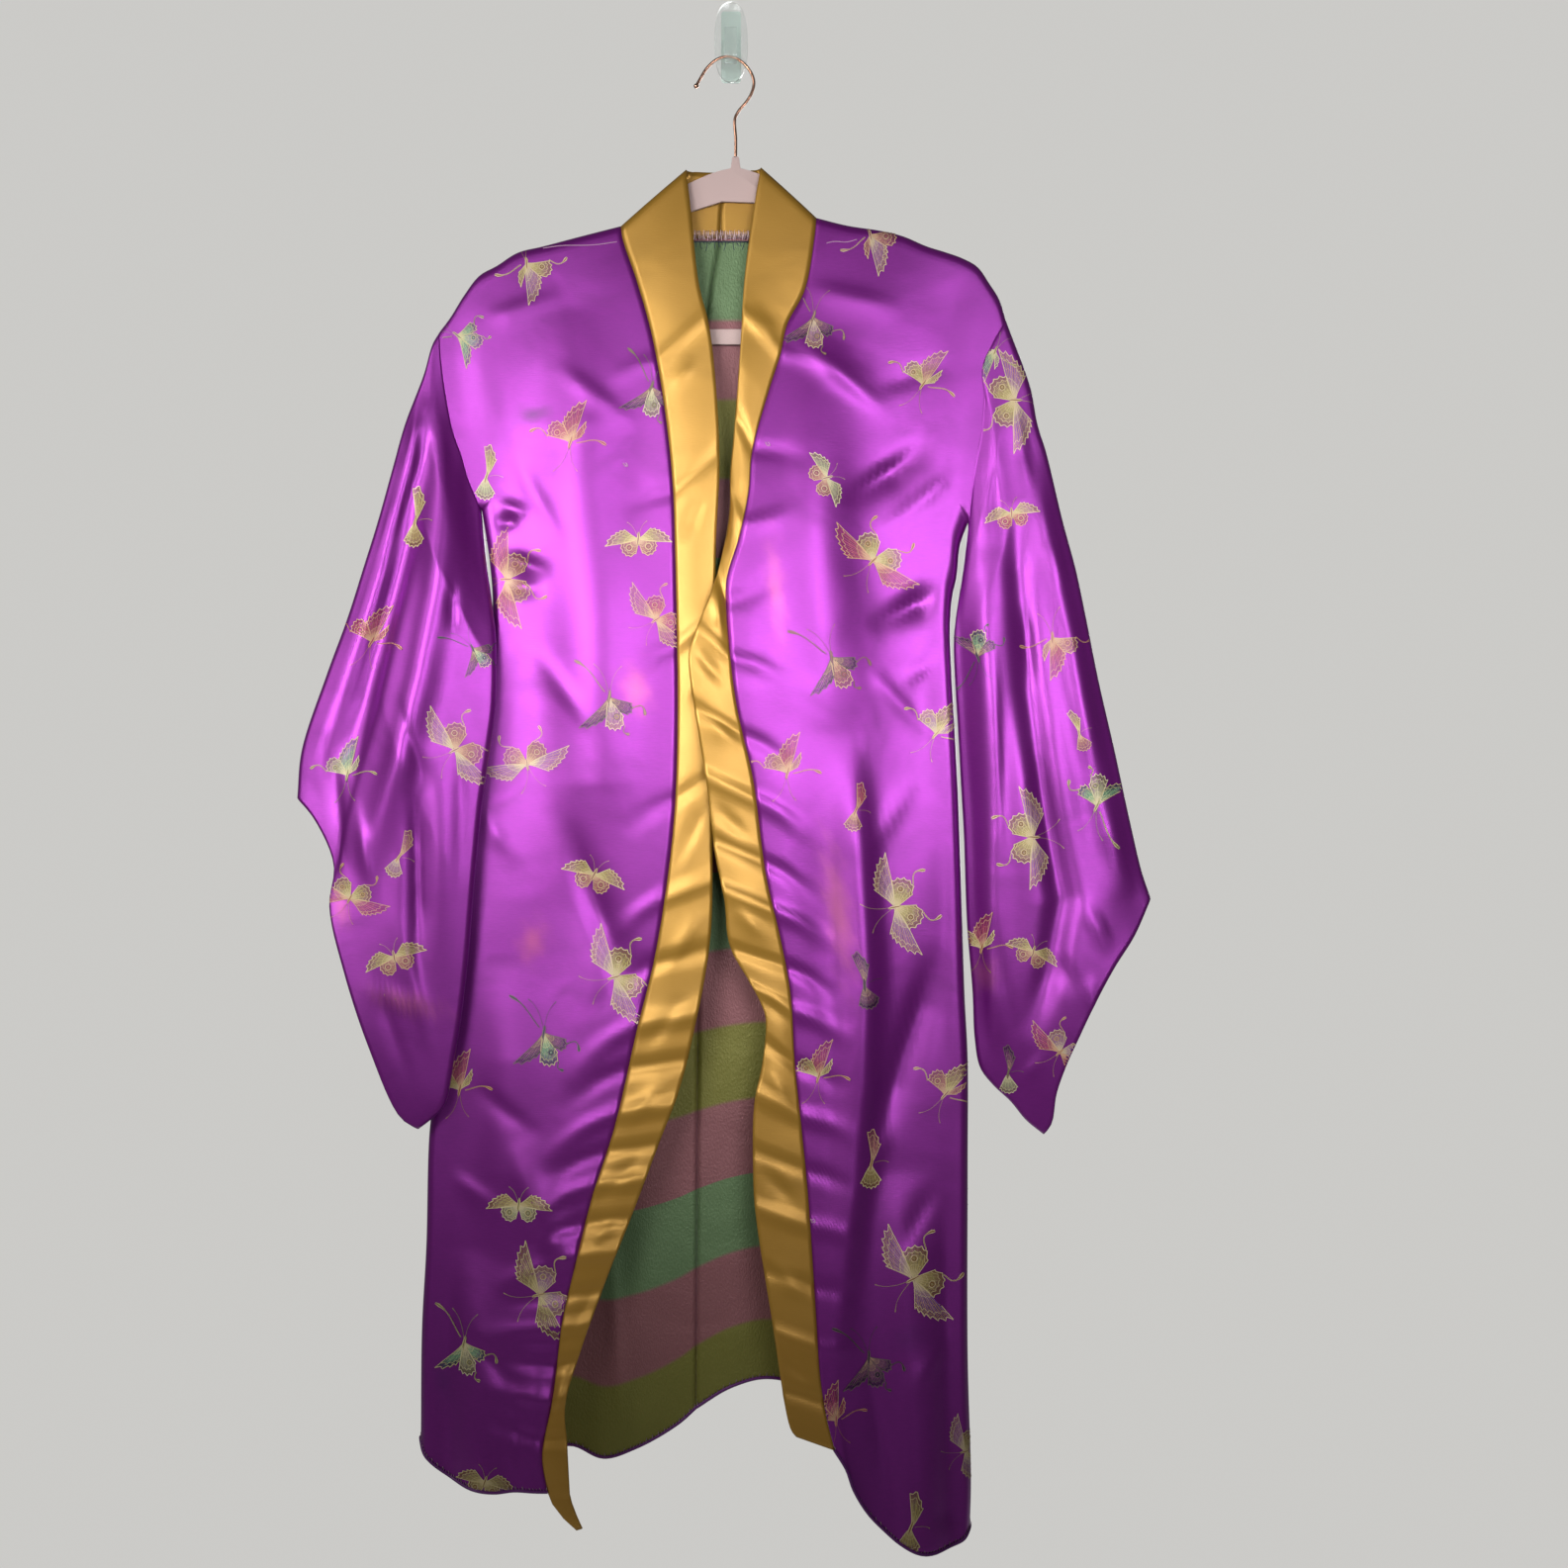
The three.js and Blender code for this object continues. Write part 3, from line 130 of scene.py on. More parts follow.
right = {
    "name": "right",
    "shoulder": [(253, -259), (247, -240), (238, -225.5), (227, -210), (213, -202), (196, -196),
                 (180, -191), (159, -182), (139, -177), (107, -172), (79, -165)],
    "neck": [(79, -165), (50, -175), (20, -180), (-10, -182)],
    "armhole": [(253, -259), (241, -280), (231, -303), (232, -329), (230, -361), (226, -381),
                (222, -407), (218, -446)],
    "side": [(218, -446), (211, -467), (208, -495), (204, -513), (202, -543), (203, -577),
             (206, -632), (209, -687), (212, -772), (215, -877), (218, -938), (218, -1036),
             (218, -1210), (221, -1325), (220, -1367)],
    "centreBack": left["centreBack"],
    "bandSeam": [(79, -165), (77, -184), (68, -233.5), (52, -265), (46, -292), (36, -324),
                 (20, -383), (17, -419), (9, -459), (-3, -499), (-3, -531), (3, -593), (8, -624),
                 (21, -681), (33, -769.5), (46, -826), (55, -876), (59, -941), (64, -988),
                 (71, -1060), (78, -1165), (82, -1224), (88, -1261), (95, -1289)],
    "frontHem": [(220, -1367), (213, -1377), (201, -1382), (178, -1386), (156, -1377),
                 (140, -1364), (126, -1349), (113, -1327), (106, -1307), (95, -1289)],
    "backHem": [(220, -1367), (190, -1352), (150, -1318), (100, -1270), (60, -1240), (30, -1234),
                (0, -1242), (-32, -1262)],
    "bandFree": [(28, -118.5), (23, -147), (13, -221), (9, -289), (3, -368), (0, -400), (-1, -440),
                 (-14, -503), (-25, -531), (-37, -566), (-37, -582), (-32, -618), (-21, -686),
                 (-13, -751), (-5, -790), (0, -832), (22, -872), (32, -895), (32, -918),
                 (29, -941), (22, -975), (21, -1034), (23, -1072), (38, -1170), (55, -1269),
                 (60, -1276)],
    "bandTail": [],
    "bandStand": [(-165, 0), (-300, 0), (-400, -9), (-460, -12), (-510, 2), (-600, 5), (-800, 5),
                  (-1000, 3), (-1390, 2)],
    "neckTop": [(28, -118.5), (12, -120.5), (-8, -122)],
    "frontHang": [(-165, 0, 0), (-300, 0, 10), (-450, 3, 22), (-600, 5, 28), (-800, 6, 26),
                  (-1000, 6, 24), (-1390, 9, 26)],
    "frontFolds": [
        (1, 70, -270, 0, 28, 32), (1, 80, -400, 6, 28, 32), (1, 90, -540, 7, 28, 32),
        (1, 96, -640, 0, 28, 32), (2, 110, -650, 0, 20, 12), (2, 118, -740, 8, 20, 12),
        (2, 125, -860, 12, 20, 12), (2, 122, -960, 12, 20, 12), (2, 110, -1080, 10, 20, 12),
        (2, 98, -1180, 5, 20, 12), (2, 95, -1240, 0, 20, 12), (3, 192, -830, 0, 12, 16),
        (3, 175, -890, -5, 12, 16), (3, 150, -960, -6, 12, 16), (3, 134, -1010, 0, 12, 16),
        (4, 206, -498, 0, 10, 14), (4, 170, -520, -5, 10, 14), (4, 128, -546, 0, 10, 14),
        (5, 100, -430, 0, 14, 10), (5, 145, -402, -4, 14, 10), (5, 184, -372, 0, 14, 10),
        (6, 50, -268, 0, 12, 16), (6, 95, -305, 4, 12, 16), (6, 148, -348, 0, 12, 16),
        (7, 150, -1040, 0, 22, 30), (7, 162, -1120, 9, 22, 30), (7, 170, -1250, 13, 22, 30),
        (7, 172, -1380, 14, 22, 30), (8, 206, -1060, 0, 12, 12), (8, 204, -1150, -6, 12, 12),
        (8, 203, -1350, -6, 12, 12)],
    "backFolds": [
        (1, 12, -640, 0, 22, 22), (1, 9, -800, -3, 22, 22), (1, 5, -1240, -3, 22, 22),
        (2, 70, -400, 0, 30, 30), (2, 78, -560, 4, 30, 30), (2, 90, -1240, 4, 30, 30),
        (3, 128, -500, 0, 24, 24), (3, 136, -700, -3, 24, 24), (3, 150, -1300, -3, 24, 24),
        (4, 178, -720, 0, 18, 18), (4, 184, -860, 3, 18, 18), (4, 190, -1350, 3, 18, 18)],
    "sleeveOuter": [(253, -259), (259, -275), (267, -296), (276, -323), (282, -355), (290, -381),
                    (305, -444), (317, -489), (326, -532), (337, -588), (352, -654), (366, -719),
                    (377, -766), (385, -790)],
    "sleeveInner": [(218.7, -446), (213.6, -489), (207, -532), (205, -555), (206.5, -599),
                    (208.5, -631), (211.5, -687), (214, -730), (217, -814), (222, -876),
                    (224, -919), (229, -946), (241, -962), (257, -977), (271, -994), (287, -1007)],
    "cuff": [(385, -790), (369, -824), (350, -853), (332, -886), (318, -916), (307, -941),
             (298, -968), (294, -996), (287, -1007)],
    "sleeveHang": [(0, -16, -16, 0, 0), (0.12, -18, -17, 8, 6), (0.25, -19, -18, 13, 8),
                   (0.6, -23, -21, 17, 9), (1, -25, -23, 16, 8)],
    "sleeveFrontFolds": [
        (1, 230, -470, 0, 12, 14), (1, 232, -560, 6, 12, 14), (1, 238, -740, 6, 12, 14),
        (1, 240, -880, 5, 12, 14), (1, 244, -930, 0, 12, 14), (2, 260, -430, 0, 12, 12),
        (2, 263, -490, -6, 12, 12), (2, 272, -600, -8, 12, 12), (2, 286, -700, -9, 12, 12),
        (2, 302, -790, -8, 12, 12), (2, 290, -860, -7, 12, 12), (2, 272, -920, 0, 12, 12),
        (3, 283, -380, 0, 14, 15), (3, 292, -440, 6, 14, 15), (3, 312, -540, 7, 14, 15),
        (3, 330, -640, 8, 14, 15), (3, 350, -730, 7, 14, 15), (3, 364, -790, 0, 14, 15)],
    "sleeveBackFolds": [
        (1, 262, -390, 0, 16, 16), (1, 275, -520, -5, 16, 16), (1, 286, -650, -5, 16, 16),
        (1, 292, -730, 0, 16, 16), (2, 248, -520, 0, 16, 16), (2, 252, -650, 3, 16, 16),
        (2, 260, -820, 3, 16, 16), (2, 264, -930, 0, 16, 16), (3, 312, -520, 0, 14, 14),
        (3, 322, -640, -4, 14, 14), (3, 336, -750, -4, 14, 14), (3, 342, -820, 0, 14, 14)],
}


def smooth(value):
    held = np.clip(value, 0, 1)
    return held * held * (3 - 2 * held)


# The round turn of an edge: 0 on it, 1 from one radius inwards.
def roundTurn(distance):
    return np.sqrt(1 - (1 - np.clip(distance / robe["edgeTurn"], 0, 1)) ** 2)


def unit(vectors):
    return vectors / np.maximum(np.linalg.norm(vectors, axis=-1, keepdims=True), 1e-9)


# A column of a table at places along its first column, held past the ends.
def lookUp(rows, place, column):
    data = np.array(rows, float)
    order = np.argsort(data[:, 0])
    return np.interp(place, data[order, 0], data[order, column])


# A smooth curve through points, passing each with the slope that the square roots of the
# gaps on both sides give it. Gives its length and a function of the part of its length.
def curve(rows):
    points = np.array(rows, float)
    padded = np.vstack([2 * points[0] - points[1], points, 2 * points[-1] - points[-2]])
    gaps = np.sqrt(np.linalg.norm(np.diff(padded, axis=0), axis=1))

    def at(place):
        i = np.clip(place.astype(int), 0, len(points) - 2)
        u = (place - i)[:, None]
        p0, p1, p2, p3 = (padded[i + k] for k in range(4))
        d0, d1, d2 = (gaps[i + k][:, None] for k in range(3))
        m1 = ((p1 - p0) / d0 - (p2 - p0) / (d0 + d1) + (p2 - p1) / d1) * d1
        m2 = ((p2 - p1) / d1 - (p3 - p1) / (d1 + d2) + (p3 - p2) / d2) * d1
        bend = u ** 2 * (3 * (p2 - p1) - 2 * m1 - m2) + u ** 3 * (2 * (p1 - p2) + m1 + m2)
        return p1 + u * m1 + bend

    places = np.linspace(0, len(points) - 1, 401)
    run = np.concatenate([[0], np.cumsum(np.linalg.norm(np.diff(at(places), axis=0), axis=1))])
    return run[-1], lambda part: at(np.interp(np.asarray(part) * run[-1], run, places))


# Soft folds: each lifts by its amount times exp(-(distance / width)^power), with lift and
# width changing evenly from one of its points to the next, and a width for either side.
def strokes(table, x, z, power=2.0):
    total = np.zeros(np.broadcast(x, z).shape)
    rows = np.array(table, float).reshape(-1, 6)
    for number in dict.fromkeys(rows[:, 0]):
        fold = rows[rows[:, 0] == number]
        best = np.zeros_like(total)
        for a, b in zip(fold[:-1], fold[1:]):
            dx, dz = b[1] - a[1], b[2] - a[2]
            along = np.clip(((x - a[1]) * dx + (z - a[2]) * dz) / (dx * dx + dz * dz), 0, 1)
            awayX, awayZ = x - a[1] - along * dx, z - a[2] - along * dz
            lift, onLeft, onRight = (a[k] + (b[k] - a[k]) * along for k in (3, 4, 5))
            width = np.where(awayX * dz - awayZ * dx < 0, onRight, onLeft)
            value = lift * np.exp(-((np.hypot(awayX, awayZ) / width) ** power))
            best = np.where(np.abs(value) > np.abs(best), value, best)
        total += best
    return total


# The same from plain rows of x0 z0 x1 z1 width lift, each swelling towards its middle.
def swelling(rows):
    table = []
    for number, (x0, z0, x1, z1, width, lift) in enumerate(rows):
        for part, share in ((0, 0), (0.3, 0.85), (0.55, 1), (1, 0)):
            table.append((number, x0 + (x1 - x0) * part, z0 + (z1 - z0) * part, lift * share,
                          width, width * 0.6))
    return table


turnDistances = robe["edgeTurn"] * (1 - np.cos(np.linspace(0, np.pi / 2, robe["turnSteps"])))


# Distances along an edge: close together in the round turns, then evenly spaced.
def stations(length, inner, bothEnds):
    turn = robe["edgeTurn"]
    if bothEnds:
        middle = np.linspace(turn, length - turn, inner + 2)[1:-1]
        return np.concatenate([turnDistances, middle, length - turnDistances[::-1]])
    return np.concatenate([turnDistances, np.linspace(turn, length, inner + 1)[1:]])


# The rows of a half, down its armhole and its side, with their points on that edge.
def layOut(half):
    armLength, armhole = curve(half["armhole"])
    sideLength, side = curve(half["side"])
    arm = stations(armLength, robe["armholeRows"], True)
    below = np.linspace(0, sideLength, robe["sideRows"] + 1)[1:]
    down = np.concatenate([arm, armLength + below])
    points = np.vstack([armhole(arm / armLength), side(below / sideLength)])
    return {
        "down": down, "part": down / down[-1], "points": points, "last": len(arm) - 1,
        "open": roundTurn(armLength - down), "armLength": armLength,
        "side": np.sign(half["side"][0][0]),
    }


# Points along an inner edge for the rows: near the top at the side's own distances.
def matchRows(rows, plan):
    length, at = curve(rows)
    down, part = plan["down"], plan["part"]
    later = smooth((down - robe["edgeTurn"]) / robe["topReach"])
    return at(np.clip((down * (1 - later) + part * length * later) / length, 0, 1))


# Outward directions of a grid of points, from its neighbours along and across.
def directions(grid, facing, around=False):
    alongRows = np.gradient(grid, axis=0)
    if around:
        across = np.roll(grid, -1, axis=1) - np.roll(grid, 1, axis=1)
    else:
        across = np.gradient(grid, axis=1)
    normal = unit(np.cross(alongRows, across))
    middle = normal[len(grid) // 2, grid.shape[1] // 4 if around else grid.shape[1] // 2]
    return -normal if middle[1] * facing < 0 else normal


# Numbers of a grid's points, with the first column again at the end where it closes round.
def gridIds(count, around=False, first=0):
    ids = first + np.arange(count[0] * count[1]).reshape(count)
    return np.concatenate([ids, ids[:, :1]], axis=1) if around else ids


# The four-sided faces between them.
def gridFaces(ids):
    corners = (ids[:-1, :-1], ids[1:, :-1], ids[1:, 1:], ids[:-1, 1:])
    return np.stack(corners, axis=-1).reshape(-1, 4)


# A piece from points in metres and faces: rows of four corners, or a list of any polygons.
def meshObject(name, points, faces, materials, faceMaterial=None, corners=None, colours=None):
    mesh = bpy.data.meshes.new(name)
    sizes = [len(face) for face in faces] if isinstance(faces, list) else None
    flat = np.concatenate([np.asarray(face) for face in faces]) if sizes else faces.ravel()
    sizes = np.array(sizes) if sizes else np.full(len(faces), faces.shape[1])
    mesh.vertices.add(len(points))
    mesh.vertices.foreach_set("co", np.asarray(points, float).ravel())
    mesh.loops.add(len(flat))
    mesh.loops.foreach_set("vertex_index", flat.astype(np.int32))
    mesh.polygons.add(len(sizes))
    starts = np.concatenate([[0], np.cumsum(sizes)[:-1]]).astype(np.int32)
    mesh.polygons.foreach_set("loop_start", starts)
    mesh.polygons.foreach_set("use_smooth", np.ones(len(sizes), bool))
    for material in materials:
        mesh.materials.append(material)
    if faceMaterial is not None:
        mesh.polygons.foreach_set("material_index", faceMaterial.astype(np.int32))
    mesh.update(calc_edges=True)
    if corners is not None:
        layer = mesh.uv_layers.new(name="cloth")
        layer.data.foreach_set("uv", corners[flat].astype(np.float32).ravel())
    if colours is not None:
        layer = mesh.color_attributes.new("colour", "FLOAT_COLOR", "POINT")
        layer.data.foreach_set("color", colours.astype(np.float32).ravel())
    mesh.validate()
    thing = bpy.data.objects.new(name, mesh)
    bpy.context.scene.collection.objects.link(thing)
    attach(thing, "root")
    return thing


# A thin cloth: the outer points, the same moved in by its thickness, and the rims between.
# Materials: the right side, the wrong side and the rim.
def clothShell(name, grid, outward, thickness, materials, corners, colours=None, around=False):
    rows, columns = grid.shape[:2]
    inner = grid - outward * thickness
    points = np.concatenate([grid.reshape(-1, 3), inner.reshape(-1, 3)]) / 1000
    ids = gridIds((rows, columns), around)
    quads = gridFaces(ids)
    first = quads[len(quads) // 2]
    flat = grid.reshape(-1, 3)
    turn = np.cross(flat[first[1]] - flat[first[0]], flat[first[2]] - flat[first[0]])
    flipped = turn @ outward.reshape(-1, 3)[first[0]] < 0
    if flipped:
        quads = quads[:, ::-1]
    shift = rows * columns
    under = quads[:, ::-1] + shift
    edges = [ids[0], ids[-1][::-1]] + ([] if around else [ids[::-1, 0], ids[:, -1]])
    rims = []
    for line in edges:
        rims.append(np.stack([line[:-1], line[1:], line[1:] + shift, line[:-1] + shift], axis=-1))
    rims = np.concatenate(rims)
    if flipped:
        rims = rims[:, ::-1]
    faces = np.concatenate([quads, under, rims])
    kinds = np.concatenate([np.zeros(len(quads)), np.ones(len(under)), np.full(len(rims), 2)])
    return meshObject(name, points, faces, materials, kinds, np.tile(corners, (2, 1)),
                      None if colours is None else np.tile(colours, (2, 1)))


# Creases of the satin that are too fine for the solids, by piece, as strokes.
creases = {
    "front_left": [
        (-150, -720, -92, -880, 9, -2.5), (-200, -380, -150, -470, 9, -1.5),
        (-230, -446, -194, -446, 8, -11), (-232, -424, -184, -438, 7, 6),
        (-222, -455, -194, -450, 4, 4), (-226, -470, -164, -492, 8, -6),
        (-222, -500, -168, -508, 8, 3), (-180, -560, -120, -640, 10, 2),
        (-160, -300, -85, -360, 10, 2), (-240, -700, -190, -760, 10, 1.8),
        (-235, -960, -170, -1010, 10, -2), (-260, -1040, -200, -1080, 10, 2),
        (-245, -1180, -190, -1240, 9, -2.5), (-200, -1240, -196, -1320, 8, 2.5),
        (-228, -260, -150, -235, 12, 2),
    ],
    "front_right": [
        (55, -273, 146, -346, 6, 1.5), (105, -428, 182, -373, 6, -2), (137, -455, 214, -393, 6, 2),
        (214, -498, 128, -546, 6, -2), (128, -580, 180, -640, 8, 2), (170, -680, 120, -760, 9, 1.5),
        (200, -720, 196, -1000, 7, -2.5), (190, -844, 136, -990, 7, -2),
        (150, -990, 110, -1080, 8, 2), (200, -560, 150, -600, 7, 2),
        (190, -1050, 150, -1120, 9, -2), (210, -1180, 150, -1260, 10, 2.5),
        (120, -1180, 150, -1350, 9, -3), (70, -230, 160, -250, 12, 2),
        (200, -300, 120, -330, 10, -1.5),
    ],
    "back_left": [
        (-60, -420, -120, -560, 12, 2), (-200, -620, -120, -760, 12, -2),
        (-70, -900, -150, -1050, 12, 2), (-240, -900, -230, -1250, 12, 3),
        (-110, -1100, -100, -1290, 10, -3), (-230, -300, -120, -260, 14, 2),
    ],
    "back_right": [
        (60, -430, 120, -560, 12, 2), (180, -600, 110, -740, 12, -2), (50, -900, 130, -1040, 12, 2),
        (195, -880, 190, -1250, 12, 3), (60, -1080, 70, -1230, 10, -3),
        (210, -300, 110, -260, 14, 2),
    ],
    "sleeve_left_front": [
        (-286, -318, -293, -404, 6, 2.5), (-293, -404, -346, -530, 6, 2),
        (-281, -382, -317, -500, 6, -3), (-250, -500, -252, -555, 6, -3),
        (-262, -345, -259, -430, 6, 2), (-284, -690, -282, -855, 4, -2.5),
        (-337, -870, -272, -888, 6, 2), (-300, -800, -270, -940, 8, 2),
        (-340, -700, -320, -800, 9, 2.5), (-365, -640, -350, -760, 7, -2),
        (-245, -640, -240, -820, 7, -2), (-320, -860, -290, -960, 8, -2),
        (-300, -610, -270, -700, 8, -2),
    ],
    "sleeve_left_back": [(-330, -470, -370, -640, 9, 2.5), (-260, -560, -262, -800, 9, -2.5),
                         (-340, -700, -300, -900, 10, 2), (-285, -320, -300, -420, 9, 2)],
    "sleeve_right_front": [
        (293, -460, 311, -510, 6, 2.5), (311, -510, 350, -700, 6, 2), (269, -520, 277, -600, 6, -3),
        (277, -642, 300, -790, 6, -3), (320, -790, 348, -838, 6, 2.5),
        (299, -842, 315, -878, 5, -2.5), (326, -860, 333, -900, 6, 2), (240, -560, 246, -760, 6, 2),
        (236, -800, 262, -930, 7, -2), (330, -640, 352, -740, 6, -2),
        (262, -330, 276, -440, 7, 2.5), (240, -380, 246, -480, 6, -2), (262, -960, 288, -930, 6, 2),
    ],
    "sleeve_right_back": [(300, -430, 330, -600, 9, 2.5), (230, -560, 232, -800, 9, -2.5),
                          (340, -680, 300, -860, 10, 2), (262, -320, 280, -400, 9, 2)],
}

# Gathers where the fronts are sewn to the band: height at the seam, reach, drop over the
# reach, width, lift.
gathers = {
    "left": [(-300, 40, 14, 7, 1.4), (-420, 36, 10, 7, -1.4), (-560, 34, 20, 7, 1.5),
             (-700, 40, 22, 7, -1.6), (-790, 44, 30, 7, 2), (-850, 46, 34, 7, -2.2),
             (-905, 52, 36, 8, 2.6), (-945, 50, 26, 7, -2.8), (-985, 56, 30, 7, 3.2),
             (-1020, 50, 20, 6, -3), (-1050, 60, 26, 7, 3.6), (-1085, 52, 18, 6, -3),
             (-1115, 62, 22, 7, 3.6), (-1150, 50, 8, 6, -3.2), (-1180, 64, 6, 7, 3.4),
             (-1215, 52, -6, 6, -3), (-1245, 60, -10, 7, 3), (-1280, 46, -14, 6, -2.4)],
    "right": [(-290, 38, 12, 7, 1.4), (-380, 40, 6, 7, -1.6), (-450, 44, -12, 7, 1.8),
              (-520, 40, -16, 7, -2), (-570, 46, 16, 7, 2), (-640, 40, 24, 7, -2),
              (-700, 44, 28, 7, 2.4), (-755, 40, 26, 6, -2.4), (-800, 46, 24, 7, 2.6),
              (-850, 38, 22, 6, -2.6), (-890, 44, 20, 7, 2.6), (-940, 36, 16, 6, -2.4),
              (-985, 42, 14, 7, 2.6), (-1035, 36, 12, 6, -2.2), (-1085, 42, 10, 7, 2.4),
              (-1140, 36, 6, 6, -2.2), (-1195, 40, 4, 7, 2.2), (-1245, 34, -6, 6, -2)],
}


# Strokes of the gathers: each starts on the seam and fades out past its reach. The shares
# are of its reach, drop, lift and width, and of its width again on the right.
def gathered(half, plan, inner):
    rows = []
    for number, (height, reach, drop, width, lift) in enumerate(gathers[half["name"]]):
        x = np.interp(-height, -inner[:, 1], inner[:, 0])
        for out, down, high, wide, onRight in ((0, 0, 1, 1, 0.7), (0.5, 0.4, 0.8, 1, 0.8),
                                               (1.3, 1.5, 0, 1.5, 1.2)):
            rows.append((number, x + plan["side"] * out * reach, height - down * drop,
                         high * lift, wide * width, onRight * width))
    return rows


# A panel's points. Outline: a patch between side, inner edge, top and hem. Depth: the round
# turns at the side and over the shoulder, the folds, and the hang towards the band.
def panel(half, plan, back):
    facing = 1 if back else -1
    shoulderLength, shoulder = curve(half["shoulder"])
    neckLength, neck = curve(half["neck"])
    across = stations(shoulderLength, robe["shoulderColumns"], False)
    top = shoulder(across / shoulderLength)
    ridge = len(across) - 1
    neckParts = np.linspace(0, 1, robe["neckColumns"] + 1)[1:] ** robe["neckSpacing"]
    overRidge = np.ones(len(across))
    if back:
        top = np.vstack([top, neck(neckParts)])
        overRidge = np.concatenate([overRidge, 1 - roundTurn(neckLength * neckParts)])
    u = (top[:, 0] - top[0, 0]) / (top[-1, 0] - top[0, 0])
    hem = curve(half["backHem" if back else "frontHem"])[1](u)
    inner = matchRows(half["centreBack" if back else "bandSeam"], plan)
    side, part = plan["points"], plan["part"][:, None, None]

    def between(row):
        return side[row] + (inner[row] - side[row]) * u[:, None]

    flat = side[:, None] + (inner - side)[:, None] * u[None, :, None]
    flat = flat + (top - between(0))[None] * (1 - part) + (hem - between(-1))[None] * part
    x, z = flat[..., 0], flat[..., 1]
    down, openness = plan["down"][:, None], plan["open"][:, None]
    fromSide = np.abs(x - x[:, :1])
    sideTurn = 1 - (1 - roundTurn(fromSide)) * (1 - openness)
    topTurn = 1 - (1 - roundTurn(down)) * overRidge
    clear = smooth((fromSide - robe["edgeTurn"]) / robe["foldStart"])
    clear = clear * smooth(down / robe["topReach"])
    face = "back" if back else "front"
    lift = strokes(half[face + "Folds"], x, z)
    fine = strokes(swelling(creases[f"{face}_{half['name']}"]), x, z, robe["creasePower"])
    if not back:
        fine = fine + strokes(gathered(half, plan, inner), x, z)
    # a faint uneven swell, so that no stretch is quite flat
    swell = 0.8 * np.sin(x / 31 + z / 83) + 0.6 * np.sin(x / 19 - z / 47 + 1.3)
    out = robe["edgeTurn"] * sideTurn * topTurn + clear * (lift + fine + swell)
    if not back:
        hang = half["frontHang"]
        out = out + lookUp(hang, z, 2) * smooth(u)[None] * topTurn + lookUp(hang, z, 1) * sideTurn
    y = robe["hangDepth"] + facing * np.maximum(out, robe["gap"] / 2)
    grid = np.stack([x, y, z], axis=-1)
    outward = directions(grid, facing)
    outward[1:, -1, 0] = 0
    outward[plan["last"]:, 0] = (plan["side"], 0, 0)
    outward[0, : ridge + 1, 1] = 0
    return {"grid": grid, "outward": unit(outward), "ridge": ridge, "hem": hem[:, 1]}


# The loop of the armhole, down the front and up the back, with directions in the YZ plane.
def armholeLoop(plan, front, back):
    last = plan["last"]
    loop = np.vstack([front["grid"][: last + 1, 0], back["grid"][last - 1 : 0 : -1, 0]])
    loop[[0, last], 1] = robe["hangDepth"]
    tangent = np.roll(loop, -1, axis=0) - np.roll(loop, 1, axis=0)
    outward = np.stack([np.zeros(len(loop)), tangent[:, 2], -tangent[:, 1]], axis=-1)
    if outward[last // 2, 1] > 0:
        outward = -outward
    outward[0], outward[last] = (0, 0, 1), (0, 0, -1)
    outward = unit(outward)
    front["outward"][1:last, 0] = outward[1:last]
    back["outward"][1:last, 0] = outward[: last : -1]
    return loop, outward


